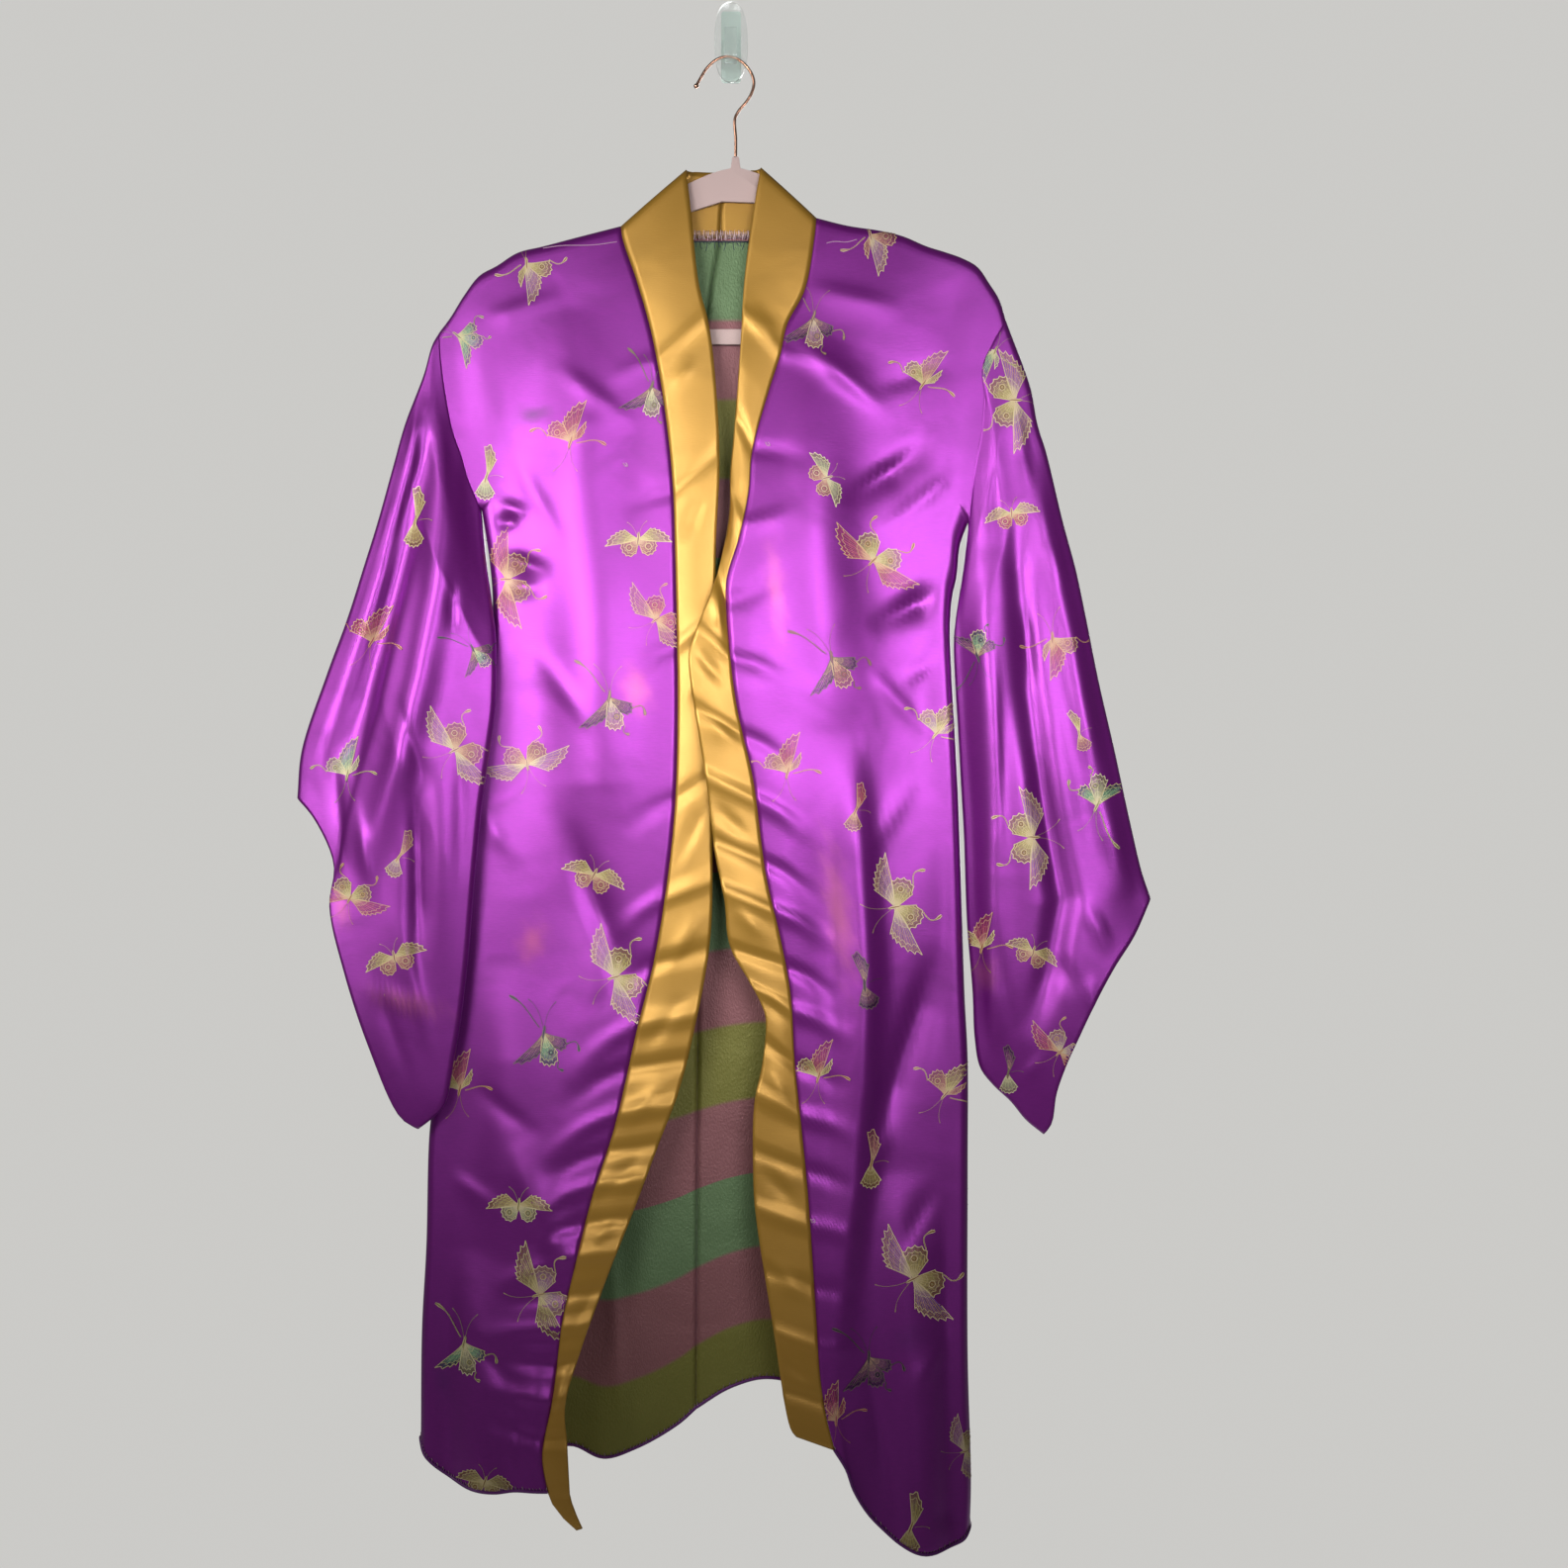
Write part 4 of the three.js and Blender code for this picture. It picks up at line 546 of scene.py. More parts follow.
# A sleeve: rings from the armhole to the cuff, flat with round edges, fullest in the middle.
def sleeve(half, plan, loop, rim):
    last, length, turn = plan["last"], plan["armLength"], robe["edgeTurn"]
    arm = plan["down"][: last + 1]
    outerAt, innerAt, cuffAt = (curve(half[key])[1]
                                for key in ("sleeveOuter", "sleeveInner", "cuff"))
    fromEnd = np.minimum(arm, length - arm)
    inTurn = fromEnd <= turn + 1e-6
    even = (arm - turn) / (length - 2 * turn)
    armhole = loop[: last + 1][:, [0, 2]]
    straight = armhole[0] + (armhole[-1] - armhole[0]) * (arm / length)[:, None]
    rings = []
    for t in np.linspace(0, 1, robe["sleeveRings"] + 1):
        radius = turn + (robe["sleeveTurn"] - turn) * smooth(4 * t)
        a, b = outerAt([t])[0], innerAt([t])[0]
        width = np.linalg.norm(a - b)
        edgePlace = fromEnd * radius / turn / width
        s = np.where(inTurn, np.where(arm < length / 2, edgePlace, 1 - edgePlace),
                     radius / width + even * (1 - 2 * radius / width))
        cuffEnds = outerAt([1])[0] + (innerAt([1])[0] - outerAt([1])[0]) * s[:, None]
        flat = a + (b - a) * s[:, None] + (armhole - straight) * (1 - t)
        flat = flat + (cuffAt(s) - cuffEnds) * t
        hang = [lookUp(half["sleeveHang"], t, column) for column in (1, 2, 3, 4)]
        middle = hang[0] + (hang[1] - hang[0]) * smooth(s)
        near = smooth(np.minimum(s, 1 - s) * width / robe["sleeveStart"]) * smooth(6 * t)
        rounded = radius * np.where(inTurn, roundTurn(fromEnd), 1)
        walls = []
        for facing, face, full in ((-1, "Front", hang[2]), (1, "Back", hang[3])):
            x, z = flat[:, 0], flat[:, 1]
            fine = strokes(swelling(creases[f"sleeve_{half['name']}_{face.lower()}"]), x, z,
                           robe["creasePower"])
            fine = fine + 0.7 * np.sin(x / 23 + z / 61) + 0.5 * np.sin(x / 14 - z / 37)
            fold = strokes(half[f"sleeve{face}Folds"], x, z) + fine
            y = middle + facing * (rounded + full * np.sin(np.pi * s) + fold * near)
            walls.append(np.stack([x, y, z], axis=-1))
        rings.append(np.vstack([walls[0], walls[1][-2:0:-1]]))
    grid = np.array(rings)
    grid[0] = loop
    grid[0, :, 0] += plan["side"] * robe["gap"]
    outward = directions(grid, -1, True)
    outward[0] = rim
    return {"grid": grid, "outward": outward}


# Folds of the band, as strokes that push it forward.
bandCreases = {
    "left": [(-30, -300, -62, -330, 8, 1.6), (-20, -420, -46, -470, 9, -1.6),
             (-18, -560, -46, -620, 9, 1.8), (-18, -700, -50, -760, 8, -1.8),
             (-24, -800, -60, -860, 8, 2), (-40, -880, -80, -930, 8, -2.2),
             (-52, -950, -100, -1000, 8, 2.4), (-76, -1020, -118, -1060, 8, -2.4),
             (-96, -1080, -136, -1110, 8, 2.4), (-118, -1140, -150, -1190, 8, -2.2),
             (-140, -1210, -160, -1260, 7, 2.2)],
    "right": [(14, -250, 48, -280, 8, 1.6), (6, -340, 30, -400, 9, -1.6),
              (0, -430, 10, -470, 8, 2.2), (-18, -500, -4, -560, 6, 3),
              (-34, -560, 0, -600, 6, -2.6), (-30, -620, 10, -650, 8, 2),
              (-20, -700, 24, -740, 8, -2), (-4, -790, 40, -830, 8, 2.2),
              (20, -870, 56, -900, 8, -2.2), (28, -940, 60, -980, 8, 2),
              (24, -1030, 66, -1070, 8, -2), (34, -1120, 76, -1150, 8, 2.2),
              (44, -1200, 80, -1230, 8, -2)],
}


# In millimetres, but for ends, the share of its length over which the swelling begins, and
# neck, the share of it that is left over the neck.
bandShape = {"bulge": 1.2, "ends": 1 / 12, "lowest": -2.2, "highest": 4, "neck": 0.3,
             "tailRows": 10}


# Half of the collar band, over the neck and down the front: straight lines from the seam to
# the free edge, swelling by sin(pi w) across, with its own creases.
def band(half, plan, front, back):
    gap, sign = robe["gap"], plan["side"]
    parts = np.linspace(0, 1, robe["neckColumns"] + 1)[:0:-1] ** robe["neckSpacing"]
    topLength, topAt = curve(half["neckTop"])
    seamNeck = back["grid"][0][: back["ridge"] : -1].copy()
    seamNeck[:, 2] += gap
    topLine = topAt(parts)
    y = robe["hangDepth"] + robe["edgeTurn"] * roundTurn(topLength * parts)
    freeNeck = np.stack([topLine[:, 0], y, topLine[:, 1]], axis=-1)
    seamNeck[0, 0] += sign * gap / 2
    freeNeck[0, 0] += sign * gap / 2
    seam = front["grid"][:, -1].copy()
    across = seam - front["grid"][:, -2]
    across[:, 1] = 0
    seam[0] += (0, robe["hangDepth"] - seam[0, 1], gap)
    seam += unit(across) * gap
    free = matchRows(half["bandFree"], plan)
    stand = lookUp(half["bandStand"], free[:, 1], 1)
    free = np.stack([free[:, 0], seam[:, 1] - stand, free[:, 1]], axis=-1)
    if half["bandTail"]:
        tail = np.array(half["bandTail"], float)
        finer = np.linspace(0, len(tail), bandShape["tailRows"])[1:]
        ends = np.vstack([[seam[-1, 0], seam[-1, 2], free[-1, 0], free[-1, 2]], tail])
        seamX, seamZ, freeX, freeZ = (np.interp(finer, range(len(ends)), ends[:, k])
                                      for k in range(4))
        depth = np.full(len(finer), seam[-1, 1])
        seam = np.vstack([seam, np.stack([seamX, depth, seamZ], axis=-1)])
        free = np.vstack([free, np.stack([freeX, depth - 2, freeZ], axis=-1)])
    seam, free = np.vstack([seamNeck, seam]), np.vstack([freeNeck, free])
    w = np.linspace(0, 1, robe["bandColumns"])
    grid = seam[:, None] + (free - seam)[:, None] * w[None, :, None]
    outward = directions(grid, -1)
    fold = strokes(swelling(bandCreases[half["name"]]), grid[..., 0], grid[..., 2],
                   robe["creasePower"])
    run = np.arange(len(grid))[:, None] / len(grid)
    inside = smooth(run / bandShape["ends"]) * smooth((1 - run) / bandShape["ends"])
    fold = np.clip(fold, bandShape["lowest"], bandShape["highest"])
    lift = bandShape["bulge"] * np.sin(np.pi * w) * inside
    lift = lift + fold * np.sin(np.pi * (w * 0.9 + 0.05))  # a little of it on the edges too
    lift[: len(parts) + 3] *= bandShape["neck"]
    grid = grid + outward * lift[..., None]
    return {"grid": grid, "outward": directions(grid, -1)}


# Links pairs of sockets.
def linkNodes(tree, *chain):
    for source, target in chain:
        tree.links.new(source, target)


# A material with the given sockets. Gives it, its nodes and its shader.
def newMaterial(name, base, roughness, sockets):
    material = bpy.data.materials.new(name)
    material.use_nodes = True
    shader = material.node_tree.nodes["Principled BSDF"]
    shader.inputs["Base Color"].default_value = (*base, 1)
    shader.inputs["Roughness"].default_value = roughness
    for socket, value in sockets.items():
        shader.inputs[socket].default_value = value
    return material, material.node_tree, shader


rumples = {"scale": 13, "detail": 2, "distortion": 0.5, "depth": 0.006}


# Adds a fine relief: noise over Object coordinates, stretched along each axis, and with
# rumple the broad shallow rumples of satin under it.
def addGrain(tree, shader, stretch, strength, depth, rumple, detail=3):
    nodes = tree.nodes
    place = nodes.new("ShaderNodeTexCoord")
    mapping = nodes.new("ShaderNodeMapping")
    mapping.inputs["Scale"].default_value = stretch
    noise = nodes.new("ShaderNodeTexNoise")
    noise.inputs["Scale"].default_value = 1
    noise.inputs["Detail"].default_value = detail
    bump = nodes.new("ShaderNodeBump")
    bump.inputs["Strength"].default_value = strength
    bump.inputs["Distance"].default_value = depth
    linkNodes(tree, (place.outputs["Object"], mapping.inputs["Vector"]),
              (mapping.outputs["Vector"], noise.inputs["Vector"]),
              (noise.outputs["Fac"], bump.inputs["Height"]),
              (bump.outputs["Normal"], shader.inputs["Normal"]))
    if rumple:
        broad = nodes.new("ShaderNodeTexNoise")
        broad.inputs["Scale"].default_value = rumples["scale"]
        broad.inputs["Detail"].default_value = rumples["detail"]
        broad.inputs["Distortion"].default_value = rumples["distortion"]
        under = nodes.new("ShaderNodeBump")
        under.inputs["Strength"].default_value = rumple
        under.inputs["Distance"].default_value = rumples["depth"]
        linkNodes(tree, (place.outputs["Object"], broad.inputs["Vector"]),
                  (broad.outputs["Fac"], under.inputs["Height"]),
                  (under.outputs["Normal"], bump.inputs["Normal"]))
    return noise


# A mix of two colours by a factor socket, fed to the base colour.
def addMix(tree, factor, first, second, target):
    mix = tree.nodes.new("ShaderNodeMix")
    mix.data_type = "RGBA"
    for socket, value in ((mix.inputs[6], first), (mix.inputs[7], second)):
        if hasattr(value, "is_linked"):
            tree.links.new(value, socket)
        else:
            socket.default_value = (*value, 1)
    tree.links.new(factor, mix.inputs[0])
    tree.links.new(mix.outputs[2], target)
    return mix


# In all finishes the grain is its stretch along x, y and z, strength, depth and rumple.
satinLook = {
    "base": (0.235, 0.009, 0.275), "slub": (0.18, 0.006, 0.215), "roughness": 0.38,
    "grain": ((160, 160, 900), 0.12, 0.0006, 0.2),
    "sockets": {"Metallic": 0.68, "Sheen Weight": 0.05, "Sheen Roughness": 0.45,
                "Sheen Tint": (0.85, 0.4, 0.95, 1), "Coat Weight": 0.4, "Coat Roughness": 0.42},
}


# Purple satin: fine crosswise slubs, and the stains and painted shade of the point attribute mixed
# in.
def satinMaterial():
    material, tree, shader = newMaterial(
        "satin", satinLook["base"], satinLook["roughness"], satinLook["sockets"])
    grain = addGrain(tree, shader, *satinLook["grain"])
    stainAndShade = tree.nodes.new("ShaderNodeAttribute")
    stainAndShade.attribute_name = "colour"
    slub = addMix(tree, grain.outputs["Fac"], satinLook["slub"], satinLook["base"],
                  shader.inputs["Base Color"])
    addMix(tree, stainAndShade.outputs["Alpha"], slub.outputs[2], stainAndShade.outputs["Color"],
           shader.inputs["Base Color"])
    return material


# Lengths in metres down the cloth, except level, the drop of a level hem in millimetres.
# Soft is the blend at each change, and last where the last one begins, as shares of a repeat.
stripeLook = {
    "period": 0.293, "start": 0.1845, "level": 1270, "soft": 0.006, "last": 0.992,
    "roughness": 0.5, "sockets": {"Metallic": 0.35},
    "grain": ((700, 700, 380), 0.55, 0.0012, 0.4),
    "colours": [(0.12, 0.2, 0.09), (0.25, 0.1, 0.11), (0.175, 0.17, 0.03), (0.25, 0.1, 0.11)],
}


# The wrong side: broad bands that run round the robe, by the distance down the cloth.
def stripeMaterial():
    material, tree, shader = newMaterial(
        "wrong_side", stripeLook["colours"][0], stripeLook["roughness"], stripeLook["sockets"])
    addGrain(tree, shader, *stripeLook["grain"])
    uv = tree.nodes.new("ShaderNodeUVMap")
    uv.uv_map = "cloth"
    split = tree.nodes.new("ShaderNodeSeparateXYZ")
    phase = tree.nodes.new("ShaderNodeMath")
    phase.operation = "FRACT"
    scaled = tree.nodes.new("ShaderNodeMath")
    scaled.operation = "MULTIPLY_ADD"
    scaled.inputs[1].default_value = 1 / stripeLook["period"]
    scaled.inputs[2].default_value = 4 - stripeLook["start"] / stripeLook["period"]  # above 0
    ramp = tree.nodes.new("ShaderNodeValToRGB")
    ramp.color_ramp.interpolation = "LINEAR"
    elements = ramp.color_ramp.elements
    elements[0].position, elements[1].position = 0.0, stripeLook["last"]
    elements[0].color = (*stripeLook["colours"][0], 1)
    elements[1].color = (*stripeLook["colours"][3], 1)
    for k in range(1, 4):
        for at, which in ((k / 4 - stripeLook["soft"], k - 1), (k / 4 + stripeLook["soft"], k)):
            added = elements.new(at)
            added.color = (*stripeLook["colours"][which], 1)
    linkNodes(tree, (uv.outputs["UV"], split.inputs[0]), (split.outputs["Y"], scaled.inputs[0]),
              (scaled.outputs[0], phase.inputs[0]), (phase.outputs[0], ramp.inputs["Fac"]),
              (ramp.outputs["Color"], shader.inputs["Base Color"]))
    return material


# Plain finishes: colour, roughness, grain, sockets.
finishes = {
    "rim": ((0.25, 0.03, 0.36), 0.6, None, {}),
    "gold_satin": ((0.41, 0.215, 0.022), 0.4, ((160, 160, 900), 0.12, 0.0006, 0.26), {
        "Metallic": 0.52, "Coat Weight": 0.38, "Coat Roughness": 0.4, "Sheen Weight": 0.05,
        "Sheen Roughness": 0.4, "Sheen Tint": (1, 0.8, 0.45, 1)}),
    "flock": ((0.62, 0.47, 0.45), 0.95, ((2600, 2600, 2600), 0.5, 0.0006, 0), {
        "Sheen Weight": 0.5, "Sheen Roughness": 0.5, "Sheen Tint": (1, 0.9, 0.88, 1)}),
    "rose_gold_wire": ((0.72, 0.4, 0.28), 0.22, None, {"Metallic": 1.0}),
    "clear_plastic": ((0.93, 0.96, 0.95), 0.08, None, {"Transmission Weight": 0.9, "IOR": 1.46}),
    "mint_foam": ((0.84, 0.98, 0.92), 0.85, ((900, 900, 900), 0.3, 0.0004, 0), {}),
    "floor": ((0.85, 0.85, 0.84), 0.9, None, {}),
}


def plainMaterial(name):
    base, roughness, grain, sockets = finishes[name]
    material, tree, shader = newMaterial(name, base, roughness, sockets)
    if grain:
        addGrain(tree, shader, *grain)
    return material


threadLook = {"base": (0.6, 0.4, 0.2), "roughness": 0.42, "sockets": {"Metallic": 0.1},
              "grain": ((1500, 1500, 1500), 0.25, 0.0004, 0), "detail": 1}


# Thread: its colour is the point attribute's.
def threadMaterial():
    material, tree, shader = newMaterial(
        "thread", threadLook["base"], threadLook["roughness"], threadLook["sockets"])
    colour = tree.nodes.new("ShaderNodeAttribute")
    colour.attribute_name = "colour"
    tree.links.new(colour.outputs["Color"], shader.inputs["Base Color"])
    addGrain(tree, shader, *threadLook["grain"], threadLook["detail"])
    return material


satin = satinMaterial()
stripes = stripeMaterial()
thread = threadMaterial()
rim, gold, flock = plainMaterial("rim"), plainMaterial("gold_satin"), plainMaterial("flock")
wireMetal, plastic = plainMaterial("rose_gold_wire"), plainMaterial("clear_plastic")
mint = plainMaterial("mint_foam")
print("materials made")

# Stains and smears, and two dark patches of painted shade low on the fronts, one along the fold
# trough of the left front: x z half-width half-height tilt colour amount
stainsAndShade = {
    "front_left": [(-180, -347, 14, 6, 0.1, (0.035, 0.002, 0.05), 0.75),
                   (-86, -600, 10, 16, 0.2, (0.55, 0.12, 0.2), 0.4),
                   (-181, -830, 9, 14, -0.3, (0.5, 0.1, 0.16), 0.4),
                   # painted shade along the fold trough near the left side of the hem
                   (-262, -1230, 8, 16, 0, (0.1, 0.01, 0.16), 0.4)],
    "front_right": [(42, -512, 6, 34, 0.1, (0.55, 0.12, 0.22), 0.35),
                    (98, -800, 9, 44, 0.15, (0.55, 0.14, 0.2), 0.4),
                    # painted shade low on the right front
                    (160, -1190, 16, 10, 0.4, (0.1, 0.01, 0.16), 0.3)],
    "sleeve_left": [(-293, -884, 26, 7, -0.25, (0.5, 0.12, 0.2), 0.4),
                    (-352, -800, 7, 12, 0, (0.5, 0.12, 0.2), 0.35)],
    "sleeve_right": [(232, -860, 9, 12, 0, (0.5, 0.12, 0.2), 0.35)],
    "back_left": [], "back_right": [],
}


# The attribute that carries them: colour, and as its fourth value the amount, which falls
# off as exp(-d^2) of the distance in half-sizes, with a slightly ragged edge.
def stainAndShadeColours(name, grid):
    x, y, z = (grid[..., k].ravel() for k in range(3))
    result = np.zeros((len(x), 4))
    result[:, :3] = satinLook["base"]
    for x0, z0, halfWidth, halfHeight, tilt, colour, amount in stainsAndShade[name]:
        dx = (x - x0) * np.cos(tilt) + (z - z0) * np.sin(tilt)
        dz = (z - z0) * np.cos(tilt) - (x - x0) * np.sin(tilt)
        ragged = 1 + 0.25 * np.sin(x / 3.1 + z / 4.7) + 0.2 * np.sin(x / 5.3 - z / 2.9)
        strength = amount * np.exp(-((dx / halfWidth) ** 2 + (dz / halfHeight) ** 2) * ragged)
        strength = np.where(y < robe["hangDepth"], strength, 0)
        more = strength > result[:, 3]
        result[more, :3] = colour
        result[:, 3] = np.maximum(result[:, 3], strength)
    return result


# Where each point lies on the uncut cloth, in metres: across, and down from the shoulder.
# The stripes follow the hem at the bottom: down = -z + (hem height + level) part^3.
def clothPlace(grid, plan=None, hem=None):
    down = -grid[..., 2]
    if plan is not None:
        down = down + (plan["part"][:, None] ** 3) * (hem[None] + stripeLook["level"])
    return np.stack([grid[..., 0], down], axis=-1).reshape(-1, 2) / 1000


# The cloth of both halves. The back seam leaves the two backs a hair apart.
cloths = {}
for half in (left, right):
    side = half["name"]
    plan = layOut(half)
    front, back = panel(half, plan, False), panel(half, plan, True)
    loop, rimDirections = armholeLoop(plan, front, back)
    back["grid"][:, -1, 0] += plan["side"] * robe["gap"] / 2
    arm = sleeve(half, plan, loop, rimDirections)
    collar = band(half, plan, front, back)
    for name, part in ((f"front_{side}", front), (f"back_{side}", back)):
        corners = clothPlace(part["grid"], plan, part["hem"])
        cloths[name] = part
        part["object"] = clothShell(
            name + "_cloth", part["grid"], part["outward"], robe["cloth"], [satin, stripes, rim],
            corners, stainAndShadeColours(name, part["grid"]))
    name = f"sleeve_{side}"
    cloths[name] = arm
    arm["object"] = clothShell(
        name + "_cloth", arm["grid"], arm["outward"], robe["cloth"], [satin, stripes, rim],
        clothPlace(arm["grid"]), stainAndShadeColours(name, arm["grid"]), around=True)
    name = f"band_{side}"
    cloths[name] = collar
    collar["object"] = clothShell(
        name + "_cloth", collar["grid"], collar["outward"], robe["bandCloth"], [gold, gold, gold],
        clothPlace(collar["grid"]))
for name, part in cloths.items():
    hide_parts(name)
print("cloth made:", ", ".join(cloths))

# Woven butterflies, as fine ribbons of thread. Colours: root, field, every other thread, edge
# and border.
palettes = {
    "gold": [(0.8, 0.66, 0.36), (0.42, 0.28, 0.06), (0.66, 0.58, 0.26), (0.3, 0.15, 0.05),
             (0.84, 0.7, 0.36)],
    "rose": [(0.8, 0.52, 0.34), (0.42, 0.1, 0.2), (0.62, 0.34, 0.2), (0.36, 0.1, 0.14),
             (0.8, 0.54, 0.3)],
    "pink": [(0.8, 0.5, 0.32), (0.46, 0.02, 0.12), (0.66, 0.22, 0.24), (0.4, 0.03, 0.13),
             (0.8, 0.46, 0.26)],
    "green": [(0.8, 0.74, 0.42), (0.04, 0.34, 0.22), (0.5, 0.6, 0.32), (0.02, 0.04, 0.09),
              (0.7, 0.6, 0.3)],
    "navy": [(0.62, 0.38, 0.26), (0.05, 0.02, 0.1), (0.46, 0.18, 0.28), (0.01, 0.006, 0.03),
             (0.22, 0.13, 0.15)],
    "lilac": [(0.84, 0.68, 0.42), (0.34, 0.2, 0.55), (0.74, 0.42, 0.3), (0.5, 0.3, 0.18),
              (0.86, 0.68, 0.42)],
    "cream": [(0.85, 0.74, 0.46), (0.66, 0.6, 0.38), (0.4, 0.44, 0.24), (0.26, 0.22, 0.1),
              (0.85, 0.76, 0.48)],
}

# Wings, with the head up: direction in degrees from up, spread, length, radii across the
# spread, scallops, which of the two palettes. Tails: direction, start, end, bend, in
# millimetres. Feelers: direction, length. Eyes: direction and distance.
pointed, pointedBack = (1.0, 0.9, 0.74, 0.62, 0.5), (0.5, 0.62, 0.74, 0.9, 1.0)
lobed, lobedBack = (0.7, 0.95, 1.0, 0.96, 0.86), (0.86, 0.96, 1.0, 0.95, 0.7)
kinds = {
    "moth": {
        "wings": [(-76, 46, 27, pointed, 5, 0), (76, 46, 27, pointedBack, 5, 0),
                  (-134, 66, 17, lobed, 5, 1), (134, 66, 17, lobedBack, 5, 1)],
        "tails": [], "feelers": [(-16, 13), (16, 13)], "eyes": [(-130, 10), (130, 10)],
    },
    "side": {
        "wings": [(6, 34, 30, (0.9, 1.0, 0.86, 0.7, 0.6), 3, 0),
                  (176, 62, 21, (0.8, 0.96, 1.0, 0.95, 0.85), 6, 1)],
        "tails": [], "feelers": [(70, 12)], "eyes": [],
    },
    "large": {
        "wings": [(-80, 40, 44, pointed, 6, 0), (80, 40, 44, pointedBack, 6, 0),
                  (-134, 62, 25, lobed, 5, 1), (134, 62, 25, lobedBack, 5, 1)],
        "tails": [(-150, 23, 38, 5), (150, 23, 38, -5)], "feelers": [(-14, 24), (12, 25)],
        "eyes": [(-128, 15), (128, 15)],
    },
    "swallow": {
        "wings": [(206, 36, 35, pointedBack, 4, 0), (166, 42, 28, lobed, 5, 1),
                  (126, 38, 22, lobedBack, 4, 0)],
        "tails": [(-44, 5, 40, 3), (118, 20, 32, -6), (152, 26, 34, 3)],
        "feelers": [(-12, 26), (8, 23)], "eyes": [(160, 17)],
    },
    "half": {
        "wings": [(170, 42, 38, pointedBack, 5, 0), (124, 50, 24, lobedBack, 5, 1),
                  (-140, 26, 22, pointed, 3, 1)],
        "tails": [(96, 20, 36, 5), (-96, 5, 30, -5)], "feelers": [(-10, 22), (8, 25)],
        "eyes": [(118, 14)],
    },
}

# Scallop is a share of the wing's length. Field and rim are where along a thread its colour
# starts to change, and over how much of it. Far, deepest and longest are for the laying.
motif = {"proud": 0.3, "threads": 30, "steps": 7, "thread": 0.42, "border": 0.45, "hair": 0.3,
         "size": 1.15, "shade": 0.7, "curl": 12, "scallop": 0.07, "root": 0.06,
         "field": (0.15, 0.35), "rim": (0.78, 0.12), "far": 500, "deepest": 12, "longest": 9}


# One ribbon: points across its line by half its width, given widths and colours.
def ribbon(line, widths, colours, lift):
    line = np.asarray(line, float)
    tangent = unit(np.gradient(line, axis=0))
    across = np.stack([-tangent[:, 1], tangent[:, 0]], axis=-1) * (np.asarray(widths) / 2)[:, None]
    return line + across, line - across, np.broadcast_to(colours, (len(line), 3)), lift


# Points at directions in degrees, clockwise from up, and distances.
def polar(angle, radius):
    angle = np.radians(angle)
    return np.stack([np.sin(angle) * radius, np.cos(angle) * radius], axis=-1)


# A wing: threads from its root to its edge, an edge band and a border that follows the
# scallops: radius = length (shape across - scallop |sin|).
def wing(direction, spread, length, shape, scallops, colours, density):
    root, field, other, edge, border = (np.array(c) for c in colours)
    count = max(7, int(motif["threads"] * density * spread / 50))
    across = np.linspace(-1, 1, count)
    steps = np.linspace(motif["root"], 1, motif["steps"])

    def edgeAt(place):
        plain = np.interp(place, np.linspace(-1, 1, len(shape)), shape)
        wave = np.abs(np.sin(np.pi * scallops * (place + 1) / 2))
        return length * (plain - motif["scallop"] * wave)

    reach = edgeAt(across)
    turning = motif["curl"] * (-1 if direction % 360 > 180 else 1)
    result = []
    for k in range(count):
        angle = direction + across[k] * spread / 2 + turning * (1 - steps) ** 2
        line = polar(angle, steps * reach[k])
        spacing = np.radians(spread) / count * reach[k] * (0.25 + 0.75 * steps)
        main = field if k % 2 else other
        tint = 1 + 0.18 * np.sin(7.3 * k + direction)
        begin, over = motif["field"]
        colour = root + (main - root) * smooth((steps - begin) / over)[:, None]
        begin, over = motif["rim"]
        colour = colour + (edge - colour) * smooth((steps - begin) / over)[:, None]
        widths = motif["thread"] * spacing * np.where(steps > 0.97, 0.5, 1) + 0.12
        result.append(ribbon(line, widths, np.clip(colour * tint, 0, 1), k % 2 * 0.12))
    fine = np.linspace(-1, 1, count * 2 + 1)
    outer = edgeAt(fine)
    angles = direction + fine * spread / 2
    # share of the reach, width, colour
    arcs = ((1.0, 1.5, border), (0.93, 0.8, edge), (0.84, 0.9, border), (0.66, 0.5, other),
            (0.46, 0.7, root), (0.3, 0.5, border))
    for share, width, colour in arcs:
        line = polar(angles + turning * (1 - share) ** 2, outer * share)
        result.append(ribbon(line, np.full(len(fine), width * motif["border"]), colour, 0.2))
    for end in (-1, 1):
        angle = direction + end * spread / 2 + turning * (1 - steps) ** 2
        last = length * shape[0 if end < 0 else 4]
        result.append(ribbon(polar(angle, steps * last), np.full(len(steps), 0.6), border, 0.22))
    return result


